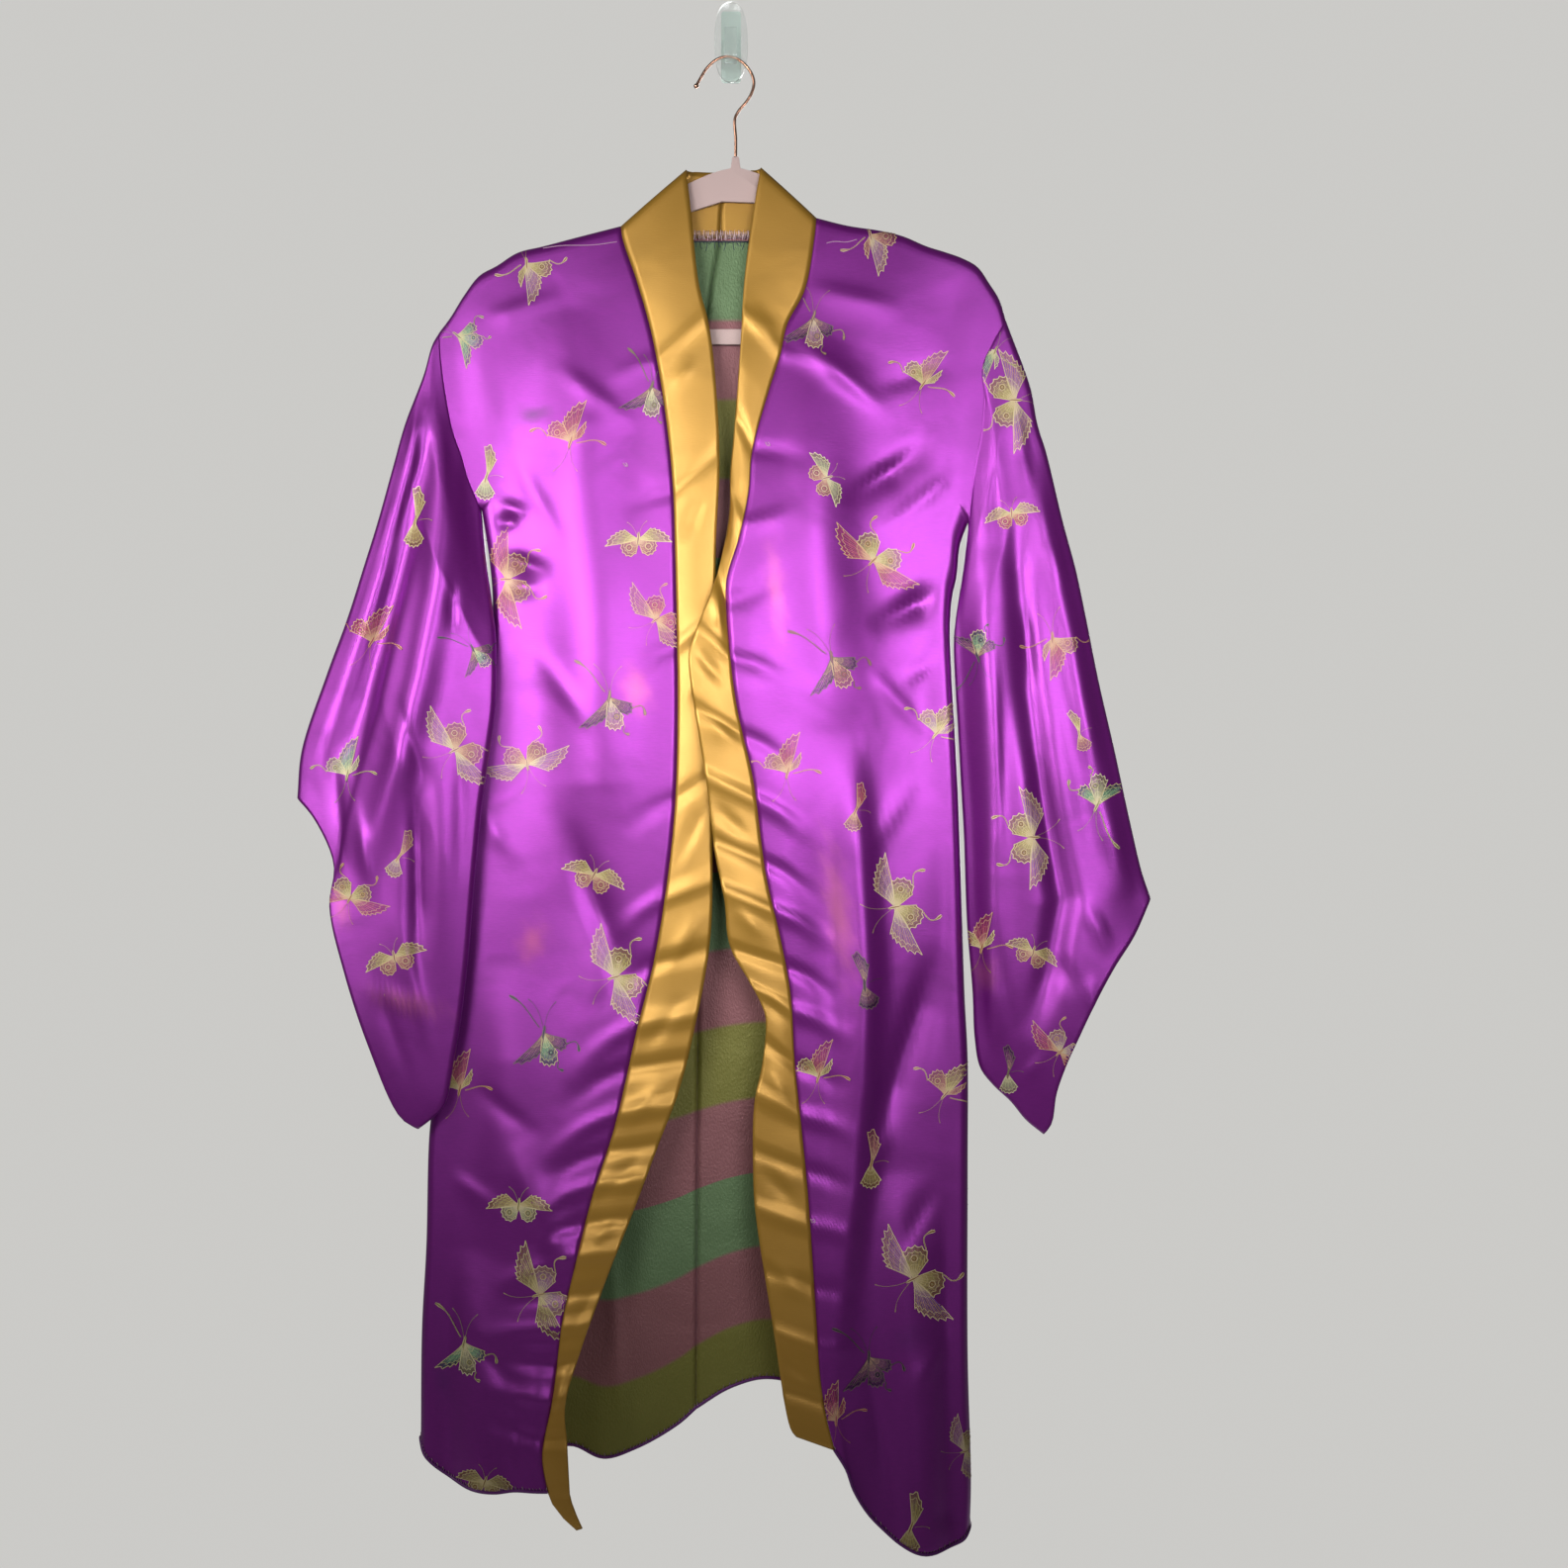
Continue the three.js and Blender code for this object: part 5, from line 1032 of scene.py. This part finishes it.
# A whole butterfly's ribbons, as wide as its kind times the scale.
def butterfly(kind, first, second, scale):
    parts, plan = [], kinds[kind]
    density = 1 if scale > 1 else 0.8
    for direction, spread, length, shape, scallops, which in plan["wings"]:
        colours = palettes[(first, second)[which]]
        parts += wing(direction, spread, length, shape, scallops, colours, density)
    border, dark = np.array(palettes[first][4]), np.array(palettes[second][3])
    for angle, start, end, bend in plan["tails"]:
        run = np.linspace(0, 1, 12)
        line = polar(angle + bend * np.sin(np.pi * run) * 2, start + (end - start) * run)
        knob = 0.9 + 1.9 * np.exp(-(((run - 0.9) / 0.1) ** 2))  # wide near the tail's end
        parts.append(ribbon(line, knob, border, 0.24))
        parts.append(ribbon(line, knob * 0.4, dark, 0.4))
    for angle, distance in plan["eyes"]:
        centre = polar(angle, distance)
        around = np.linspace(0, 360, 13)
        parts.append(ribbon(centre + polar(around, 1.5), np.full(13, 0.9), dark, 0.34))
        parts.append(ribbon(centre + polar(around, 2.4), np.full(13, 0.5), border, 0.36))
    for angle, reach in plan["feelers"]:
        run = np.linspace(0, 1, 9)
        line = polar(angle + 14 * run ** 2 * np.sign(angle + 0.1), 3 + reach * run)
        shade = dark * 0.6 + border * 0.4
        parts.append(ribbon(line, motif["hair"] + 0.5 * smooth((run - 0.85) * 8), shade, 0.2))
    run = np.linspace(-1, 1, 8)  # the body, light with a dark middle
    body = np.stack([0.6 * np.sin(run * 2), run * 5.5], axis=-1)
    parts.append(ribbon(body, 2.4 * np.sqrt(1.05 - run ** 2), border, 0.42))
    parts.append(ribbon(body, 0.9 * np.sqrt(1.05 - run ** 2), dark, 0.55))
    return [(a * scale, b * scale, colour, lift) for a, b, colour, lift in parts]


# Where they are: x z, kind, turn clockwise in degrees, scale, mirrored, the two palettes.
motifs = {
    "front_left": [
        (-187, -208, "half", -14, 0.9, 0, "lilac", "gold"),
        (-251, -274, "swallow", -60, 0.8, 0, "green", "green"),
        (-72, -322, "swallow", 12, 0.9, 0, "navy", "cream"),
        (-146, -374, "half", 190, 0.95, 0, "pink", "pink"),
        (-224, -404, "side", 8, 0.9, 0, "gold", "cream"),
        (-84, -462, "moth", -4, 1, 0, "gold", "rose"),
        (-206, -498, "large", 262, 0.95, 0, "pink", "rose"),
        (-68, -536, "large", 228, 0.8, 0, "rose", "pink"),
        (-110, -606, "swallow", 0, 1, 0, "navy", "lilac"),
        (-186, -668, "large", 166, 0.85, 0, "lilac", "rose"),
        (-124, -768, "moth", 18, 1, 0, "gold", "rose"),
        (-106, -862, "large", 246, 1, 0, "lilac", "gold"),
        (-170, -912, "swallow", 0, 1, 0, "navy", "green"),
        (-248, -966, "half", 184, 0.9, 0, "pink", "gold"),
        (-192, -1068, "moth", 0, 1, 0, "gold", "cream"),
        (-174, -1150, "large", 246, 1, 0, "gold", "lilac"),
        (-242, -1194, "swallow", 4, 0.95, 0, "green", "cream"),
        (-222, -1318, "moth", 10, 0.9, 0, "gold", "gold"),
        (-257, -630, "side", 10, 0.7, 1, "cream", "gold"),
    ],
    "sleeve_left": [
        (-288, -446, "side", 6, 1, 0, "gold", "gold"),
        (-328, -556, "half", 200, 0.9, 0, "pink", "pink"),
        (-349, -678, "half", 184, 0.85, 0, "green", "cream"),
        (-250, -655, "large", 232, 0.9, 0, "lilac", "rose"),
        (-234, -562, "swallow", -30, 0.7, 0, "navy", "green"),
        (-345, -790, "large", 200, 0.75, 0, "pink", "gold"),
        (-304, -842, "moth", -20, 0.95, 0, "gold", "rose"),
        (-300, -752, "side", 24, 0.8, 0, "rose", "lilac"),
    ],
    "front_right": [
        (128, -182, "half", -22, 0.9, 0, "lilac", "rose"),
        (76, -258, "swallow", 10, 0.95, 0, "navy", "lilac"),
        (176, -320, "half", 206, 0.9, 0, "rose", "gold"),
        (88, -407, "moth", 64, 0.9, 0, "cream", "rose"),
        (130, -482, "large", 216, 0.95, 0, "pink", "gold"),
        (92, -570, "swallow", -16, 1, 0, "navy", "rose"),
        (188, -640, "half", 212, 0.9, 0, "gold", "lilac"),
        (52, -676, "half", 186, 0.9, 0, "pink", "rose"),
        (114, -710, "side", 14, 0.8, 0, "pink", "rose"),
        (150, -798, "large", 250, 1, 0, "lilac", "gold"),
        (122, -868, "side", -12, 0.95, 0, "navy", "navy"),
        (80, -952, "half", 190, 0.85, 0, "pink", "gold"),
        (196, -970, "half", 214, 0.9, 0, "gold", "rose"),
        (128, -1031, "side", 4, 0.95, 0, "rose", "gold"),
        (166, -1136, "large", 236, 1.08, 0, "lilac", "gold"),
        (126, -1206, "swallow", -6, 0.95, 0, "navy", "navy"),
        (96, -1262, "half", 172, 0.85, 0, "pink", "pink"),
        (214, -1296, "large", 250, 0.7, 0, "lilac", "gold"),
        (164, -1360, "side", 10, 1, 0, "gold", "gold"),
    ],
    "sleeve_right": [
        (243, -288, "half", 30, 0.7, 1, "green", "cream"),
        (261, -334, "large", 82, 0.98, 0, "lilac", "gold"),
        (257, -438, "moth", -12, 0.85, 0, "gold", "pink"),
        (294, -552, "half", -8, 0.9, 0, "pink", "rose"),
        (226, -570, "swallow", 170, 0.8, 1, "navy", "green"),
        (276, -734, "large", 84, 0.95, 0, "lilac", "gold"),
        (334, -706, "swallow", 196, 0.95, 0, "green", "cream"),
        (230, -836, "half", 184, 0.8, 0, "pink", "gold"),
        (276, -838, "moth", 24, 0.85, 1, "gold", "rose"),
        (300, -930, "large", 220, 0.75, 0, "pink", "lilac"),
        (254, -950, "side", 0, 0.8, 0, "navy", "cream"),
        (318, -640, "side", -20, 0.7, 0, "gold", "rose"),
    ],
}
# The unseen back repeats the cloth's pattern in the same order, six to a repeat.
repeat = [("large", 240, "lilac", "gold"), ("swallow", -5, "navy", "cream"),
          ("moth", 8, "gold", "rose"), ("half", 190, "pink", "rose"), ("side", 10, "gold", "cream"),
          ("swallow", 15, "green", "green")]
scatter = {"across": 96, "down": 104, "sway": 9, "rise": 11, "turn": 25, "scale": 0.88}


# Motifs over x0 to x1 and z0 down to z1, every other row set half a step along.
def scattered(x0, x1, z0, z1, start):
    rows, number = [], start
    for row, z in enumerate(np.arange(z0, z1, -scatter["down"])):
        for x in np.arange(x0 + scatter["across"] // 2 * (row % 2), x1, scatter["across"]):
            kind, turn, first, second = repeat[number % len(repeat)]
            rows.append((x + scatter["sway"] * np.sin(2.1 * number),
                         z + scatter["rise"] * np.sin(1.3 * number), kind,
                         turn + scatter["turn"] * np.sin(number), scatter["scale"],
                         number // len(repeat) % 2, first, second))
            number += 1
    return rows


backMotifs = {
    "back_left": scattered(-236, -20, -228, -1290, 0),
    "back_right": scattered(8, 226, -232, -1340, 2),
    "sleeve_left": scattered(-340, -224, -390, -980, 1),
    "sleeve_right": scattered(226, 360, -380, -960, 4),
}


# A search tree of a cloth's right side, in millimetres.
def clothTree(name):
    grid = cloths[name]["grid"]
    faces = gridFaces(gridIds(grid.shape[:2], name.startswith("sleeve")))
    return BVHTree.FromPolygons(grid.reshape(-1, 3).tolist(), faces.tolist())


# Lays the ribbons on a cloth: each point goes straight on to its surface, a little proud.
# Threads that would pass the cloth's edge end there.
def layMotifs(name, rows, facing):
    tree, deepest = clothTree(name), robe["hangDepth"] * facing - motif["deepest"]
    points, faces, colours = [], [], []
    for x, z, kind, turn, scale, mirrored, first, second in rows:
        angle = np.radians(turn)
        flip = -1 if mirrored else 1
        for a, b, colour, lift in butterfly(kind, first, second, scale * motif["size"]):
            line = []
            for pair, shade in zip(zip(a, b), colour):
                placed = []
                for u, v in pair:
                    px = x + flip * u * np.cos(angle) + v * np.sin(angle)
                    pz = z - flip * u * np.sin(angle) + v * np.cos(angle)
                    start = (px, motif["far"] * facing, pz)
                    spot, normal = tree.ray_cast(start, (0, -facing, 0))[:2]
                    if spot is not None and spot.y * facing > deepest:
                        normal = normal if normal.y * facing > 0 else -normal
                        placed.append(spot + normal * (motif["proud"] + lift))
                line.append((placed, shade * motif["shade"]))
            for before, after in zip(line[:-1], line[1:]):
                if len(before[0]) == 2 and len(after[0]) == 2:
                    corners = [before[0][0], before[0][1], after[0][1], after[0][0]]
                    sides = [(corners[k] - corners[k - 1]).length for k in range(4)]
                    if max(sides) < motif["longest"]:
                        faces.append([len(points) + k for k in range(4)])
                        points += corners
                        colours += [(*before[1], 1)] * 2 + [(*after[1], 1)] * 2
    points = np.array([tuple(p) for p in points]) / 1000
    face = "back" if facing > 0 else "front"
    return meshObject(f"{name}_butterflies_{face}", points, np.array(faces), [thread],
                      colours=np.array(colours))


woven = {name: [] for name in cloths}
for name, rows in motifs.items():
    woven[name].append(layMotifs(name, rows, -1))
for name, rows in backMotifs.items():
    woven[name].append(layMotifs(name, rows, 1))
wovenFaces = sum(len(thing.data.polygons) for things in woven.values() for thing in things)
print("butterflies made:", wovenFaces, "faces")


# A tube along a path: rings square to it, of the given radius at each point.
def tube(name, path, radii, material, around=12):
    path, radii = np.asarray(path, float), np.asarray(radii, float)
    tangent = unit(np.gradient(path, axis=0))
    across = unit(np.cross(tangent, (0, 1, 0)))
    upward = np.cross(across, tangent)
    angle = np.linspace(0, 2 * np.pi, around, endpoint=False)[None, :, None]
    ring = np.cos(angle) * across[:, None] + np.sin(angle) * upward[:, None]
    points = path[:, None] + ring * radii[:, None, None]
    ids = gridIds((len(path), around), True)
    quads = gridFaces(ids)[:, [0, 3, 2, 1]]
    faces = [list(q) for q in quads] + [list(ids[0, :-1][::-1]), list(ids[-1, :-1])]
    return meshObject(name, points.reshape(-1, 3) / 1000, faces, [material])


holder = {"merge": 0.00002, "sharp": 35, "hangerEdge": 0.0012, "hookEdge": 0.0008}


# A copy of a CAD node's mesh as its own piece, with rounded edges.
def roundedCopy(node, name, material, width):
    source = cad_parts[node]
    thing = bpy.data.objects.new(name, source.data.copy())
    bpy.context.scene.collection.objects.link(thing)
    thing.data.materials.clear()
    thing.data.materials.append(material)
    merge = thing.modifiers.new("merge", "WELD")
    merge.merge_threshold = holder["merge"]
    bevel = thing.modifiers.new("edges", "BEVEL")
    bevel.width, bevel.segments, bevel.limit_method = width, 3, "ANGLE"
    bevel.angle_limit = np.radians(holder["sharp"])
    thing.data.polygons.foreach_set("use_smooth", np.ones(len(thing.data.polygons), bool))
    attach(thing, "root")
    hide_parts(node)


# The wire hook: up from the hanger's nub, over the wall hook, to a ball tip.
wire = {
    "radius": 1.35, "tip": 2.3, "rings": 140,
    "route": [(4.5, -108.7), (4.6, -92), (3.8, -74), (7, -66.9), (14.5, -57.8), (19.3, -49.7),
              (21.3, -40.6), (19.3, -32.5), (12.8, -23.4), (4.6, -17.9), (-4.5, -16.3),
              (-13.6, -19.4), (-22, -27), (-28, -36.6), (-33, -45.5)],
}
wireLength, wireAt = curve(wire["route"])
wirePath = np.insert(wireAt(np.linspace(0, 1, wire["rings"])), 1, robe["hangDepth"], axis=1)
fromTip = np.linspace(wireLength, 0, wire["rings"])
ball = np.sqrt(np.clip(1 - ((fromTip - wire["tip"]) / wire["tip"]) ** 2, 0.02, 1)) * wire["tip"]
wireRadii = np.where(fromTip < 2 * wire["tip"], np.maximum(ball, 0.4), wire["radius"])
tooThin = (fromTip > wire["tip"]) & (wireRadii < wire["radius"])
wireRadii = np.where(tooThin, wire["radius"], wireRadii)
hookWire = tube("hook_wire_metal", wirePath, wireRadii, wireMetal)
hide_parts("hook_wire")
roundedCopy("hanger", "hanger_flocked", flock, holder["hangerEdge"])
roundedCopy("wall_hook", "wall_hook_plastic", plastic, holder["hookEdge"])
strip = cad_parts["adhesive_strip"].data
strip.materials.clear()
strip.materials.append(mint)
print("hanger, wire and wall hook made")
# Sewing threads: sizes in millimetres, colours for the loops, the navy row and the rolls.
stitch = {"thread": 0.38, "sides": 5, "pitch": 3.2, "reach": 4.2, "roll": 1.7, "proud": 0.35,
          "pale": (0.36, 0.24, 0.3), "navy": (0.02, 0.025, 0.07), "plum": (0.11, 0.008, 0.15)}


# A round thread along each line of points: centre + radius (normal cos a + binormal sin a).
def threads(name, lines, radii, shades):
    points, faces, colours = [], [], []
    angles = np.arange(stitch["sides"]) / stitch["sides"] * 2 * np.pi
    for line, radius, shade in zip(lines, radii, shades):
        line = np.asarray(line, float)
        forward = unit(np.gradient(line, axis=0))
        first = unit(np.cross(forward, (0.02, 1, 0.03)))  # leans, so that no line is along it
        second = np.cross(forward, first)
        ring = (line[:, None] + radius * (np.cos(angles)[None, :, None] * first[:, None]
                                          + np.sin(angles)[None, :, None] * second[:, None]))
        ids = gridIds(ring.shape[:2], True, sum(len(p) for p in points))
        faces.append(gridFaces(ids)[:, [0, 3, 2, 1]])
        points.append(ring.reshape(-1, 3))
        colours.append(np.tile((*shade, 1), (len(points[-1]), 1)))
    return meshObject(name, np.concatenate(points) / 1000, np.concatenate(faces), [thread],
                      colours=np.concatenate(colours))


# Points at an even pitch along a line.
def spaced(line, pitch):
    line = np.asarray(line, float)
    run = np.concatenate([[0], np.cumsum(np.linalg.norm(np.diff(line, axis=0), axis=1))])
    at = np.linspace(0, run[-1], max(3, int(run[-1] / pitch) + 1))
    return np.stack([np.interp(at, run, line[:, k]) for k in range(3)], axis=-1)


# An overlocked edge: a rolled edge along the hem and a thread that goes up and down over it,
# along + up reach (0 or 1), a little uneven.
def overlocked(edge, inward, facing, offset):
    along = spaced(edge, stitch["pitch"] / 2)
    inner = spaced(inward, 1)
    inner = inner[np.linspace(0, len(inner) - 1, len(along)).astype(int)]
    up = unit(inner - along)
    number = np.arange(len(along))
    reach = np.where(number % 2, stitch["reach"] * (1 + 0.3 * np.sin(1.7 * number)), -0.4)
    forward = np.array((0, facing * (offset + stitch["proud"]), 0))
    return along + up * reach[:, None] + forward, along + up * stitch["roll"] * 0.6 + forward * 0.4


hemLines, hemSizes, hemShades = [], [], []
for side in ("left", "right"):
    for name, facing, offset in ((f"back_{side}", -1, robe["cloth"]), (f"front_{side}", -1, 0),
                                 (f"back_{side}", 1, 0)):
        grid = cloths[name]["grid"]
        zigzag, roll = overlocked(grid[-1], grid[-4], facing, offset)
        hemLines += [zigzag, roll]
        hemSizes += [stitch["thread"], stitch["roll"]]
        hemShades += [stitch["pale"], stitch["plum"]]
threads("hem_overlock", hemLines, hemSizes, hemShades)

# The neck seam inside the back: pale loops between two heights, a navy row under them and
# loose ends. Each point goes from inside the robe straight back on to the cloth that it meets,
# and where it meets none it stays at the middle depth.
neck = {"from": -34, "to": 22, "loops": (-175.5, -183.5), "row": -185.5, "pitch": 0.8,
        "start": -19, "middle": robe["hangDepth"] + 5, "tried": (-176, -180, -184),
        "loopThread": 0.6, "rowThread": 0.5, "looseThread": 0.28, "looseEvery": 3.4,
        "loopShade": (0.8, 0.6, 0.66)}
neckTrees = []
for name in ("back_left", "back_right", "band_left", "band_right"):
    mesh = cloths[name]["object"].data
    neckTrees.append(BVHTree.FromPolygons([tuple(v.co * 1000) for v in mesh.vertices],
                                          [tuple(p.vertices) for p in mesh.polygons]))


def insideBack(x, z):
    hits = [tree.ray_cast((x, neck["start"], z), (0, 1, 0))[0] for tree in neckTrees]
    depths = [hit.y for hit in hits if hit is not None]
    return min(depths) - stitch["proud"] if depths else neck["middle"]


across = np.arange(neck["from"], neck["to"], neck["pitch"])
number = np.arange(len(across))
loops = np.where(number % 2, neck["loops"][0], neck["loops"][1]) + 0.7 * np.sin(1.9 * number)
row = neck["row"] + np.where(number % 2, 0.5, -0.5)
neckFront = min(insideBack(x, z) for x in across for z in neck["tried"])
neckLines = [[(x, neckFront, z) for x, z in zip(across, heights)] for heights in (loops, row)]
neckSizes = [neck["loopThread"], neck["rowThread"]]
neckShades = [neck["loopShade"], stitch["navy"]]
for k, x in enumerate(np.arange(neck["from"] + 2, neck["to"], neck["looseEvery"])):
    length, lean = 5 + 3.5 * np.sin(2.6 * k), 2.2 * np.sin(1.3 * k)
    neckLines.append([(x + lean * t * t, insideBack(x + lean * t * t, neck["row"] - length * t),
                       neck["row"] - length * t) for t in np.linspace(0, 1, 5)])
    neckSizes.append(neck["looseThread"])
    neckShades.append(stitch["navy"])
threads("neck_overlock", neckLines, neckSizes, neckShades)

# Pale ends of thread on the right side: a pulled line on each shoulder seam, and small knots
# of three turns. Each row of the pulled lines: x z, x z of its two ends.
pulled = {"front_left": [(-172, -194, -104, -189)], "front_right": [(88, -190, 116, -187)]}
knots = {"front_right": [(34, -376), (75, -1081)], "front_left": [(-261, -878), (-96, -394)]}
loose = {"pulled": 0.45, "knot": 0.3, "shade": (0.5, 0.3, 0.45)}
endLines, endSizes = [], []
for name in pulled:
    surface, courses = clothTree(name), []
    for x0, z0, x1, z1 in pulled[name]:
        t = np.linspace(0, 1, 40)
        courses.append((x0 + (x1 - x0) * t, z0 + (z1 - z0) * t + 0.8 * np.sin(7 * t),
                        loose["pulled"]))
    for x0, z0 in knots[name]:
        t = np.linspace(0, 1, 26)
        courses.append((x0 + 2.4 * np.sin(9 * t) * (1 - 0.4 * t), z0 + 1.7 * np.cos(13 * t),
                        loose["knot"]))
    for xs, zs, size in courses:
        hits = [surface.ray_cast((x, -motif["far"], z), (0, 1, 0))[0] for x, z in zip(xs, zs)]
        line = [(hit.x, hit.y - stitch["proud"], hit.z) for hit in hits if hit is not None]
        if len(line) > 3:
            endLines.append(line)
            endSizes.append(size)
threads("thread_ends", endLines, endSizes, [loose["shade"]] * len(endLines))
print("stitches made:", len(hemLines) + len(neckLines) + len(endLines), "threads")

# The room, in metres: a pale wall that only the camera and clear plastic see, a weak light
# from all round, and a plain floor.
room = {"floor": -1.9, "far": 1.5, "near": -4.0, "half": 2.6, "wall": (0.6, 0.594, 0.575),
        "light": 0.1, "tint": (1, 0.99, 0.97)}
scene = bpy.context.scene
scene.view_settings.view_transform = "Standard"
world = bpy.data.worlds.new("room")
world.use_nodes = True
shown = world.node_tree.nodes["Background"]
shown.inputs["Color"].default_value = (*room["wall"], 1)
lighting = world.node_tree.nodes.new("ShaderNodeBackground")
lighting.inputs["Color"].default_value = (*room["tint"], 1)
lighting.inputs["Strength"].default_value = room["light"]
seen = world.node_tree.nodes.new("ShaderNodeLightPath")
through = world.node_tree.nodes.new("ShaderNodeMath")
through.operation = "MAXIMUM"
either = world.node_tree.nodes.new("ShaderNodeMixShader")
linkNodes(world.node_tree, (seen.outputs["Is Camera Ray"], through.inputs[0]),
          (seen.outputs["Is Transmission Ray"], through.inputs[1]),
          (through.outputs[0], either.inputs["Fac"]),
          (lighting.outputs[0], either.inputs[1]), (shown.outputs[0], either.inputs[2]),
          (either.outputs[0], world.node_tree.nodes["World Output"].inputs["Surface"]))
scene.world = world
floorMesh = bpy.data.meshes.new("floor")
floorEnds = ((-1, "near"), (1, "near"), (1, "far"), (-1, "far"))
floorMesh.from_pydata([(side * room["half"], room[end], room["floor"]) for side, end in floorEnds],
                      [], [(0, 1, 2, 3)])
floorMesh.materials.append(plainMaterial("floor"))
floor = bpy.data.objects.new("floor", floorMesh)
scene.collection.objects.link(floor)

# place, aim, width, height, watts, half-beam in degrees, colour
lamps = {
    "key": ((-0.85, -1.75, -0.3), (-0.03, 0, -0.52), 1.1, 0.3, 2.5, 22, (1, 0.985, 0.97)),
    "front": ((0.6, -2.1, -0.36), (0.1, 0, -0.56), 1.0, 0.3, 1.8, 22, (1, 0.98, 1)),
    "fill": ((-1.9, -1.2, 0.25), (0, 0, -0.95), 0.7, 0.7, 11, 90, (1, 0.98, 0.95)),
    "back": ((0.5, 2.4, -0.3), (0, 0, -0.7), 1.2, 1.2, 40, 90, (1, 1, 1)),
}
for name, (place, aim, width, height, power, beam, colour) in lamps.items():
    light = bpy.data.lights.new(name, "AREA")
    light.shape, light.size, light.size_y = "RECTANGLE", width, height
    light.energy, light.color = power, colour
    light.spread = np.radians(beam * 2)
    lamp = bpy.data.objects.new(name, light)
    lamp.location = place
    lamp.rotation_euler = (Vector(aim) - Vector(place)).to_track_quat("-Z", "Y").to_euler()
    scene.collection.objects.link(lamp)

photo = {"place": (0.049, -2.545, -0.68565), "lens": 63.1}
cameraData = bpy.data.cameras.new("camera")
cameraData.lens = photo["lens"]
camera = bpy.data.objects.new("camera", cameraData)
camera.location = photo["place"]
camera.rotation_euler = (np.pi / 2, 0, 0)
scene.collection.objects.link(camera)
scene.camera = camera
print("room, lamps and camera made")
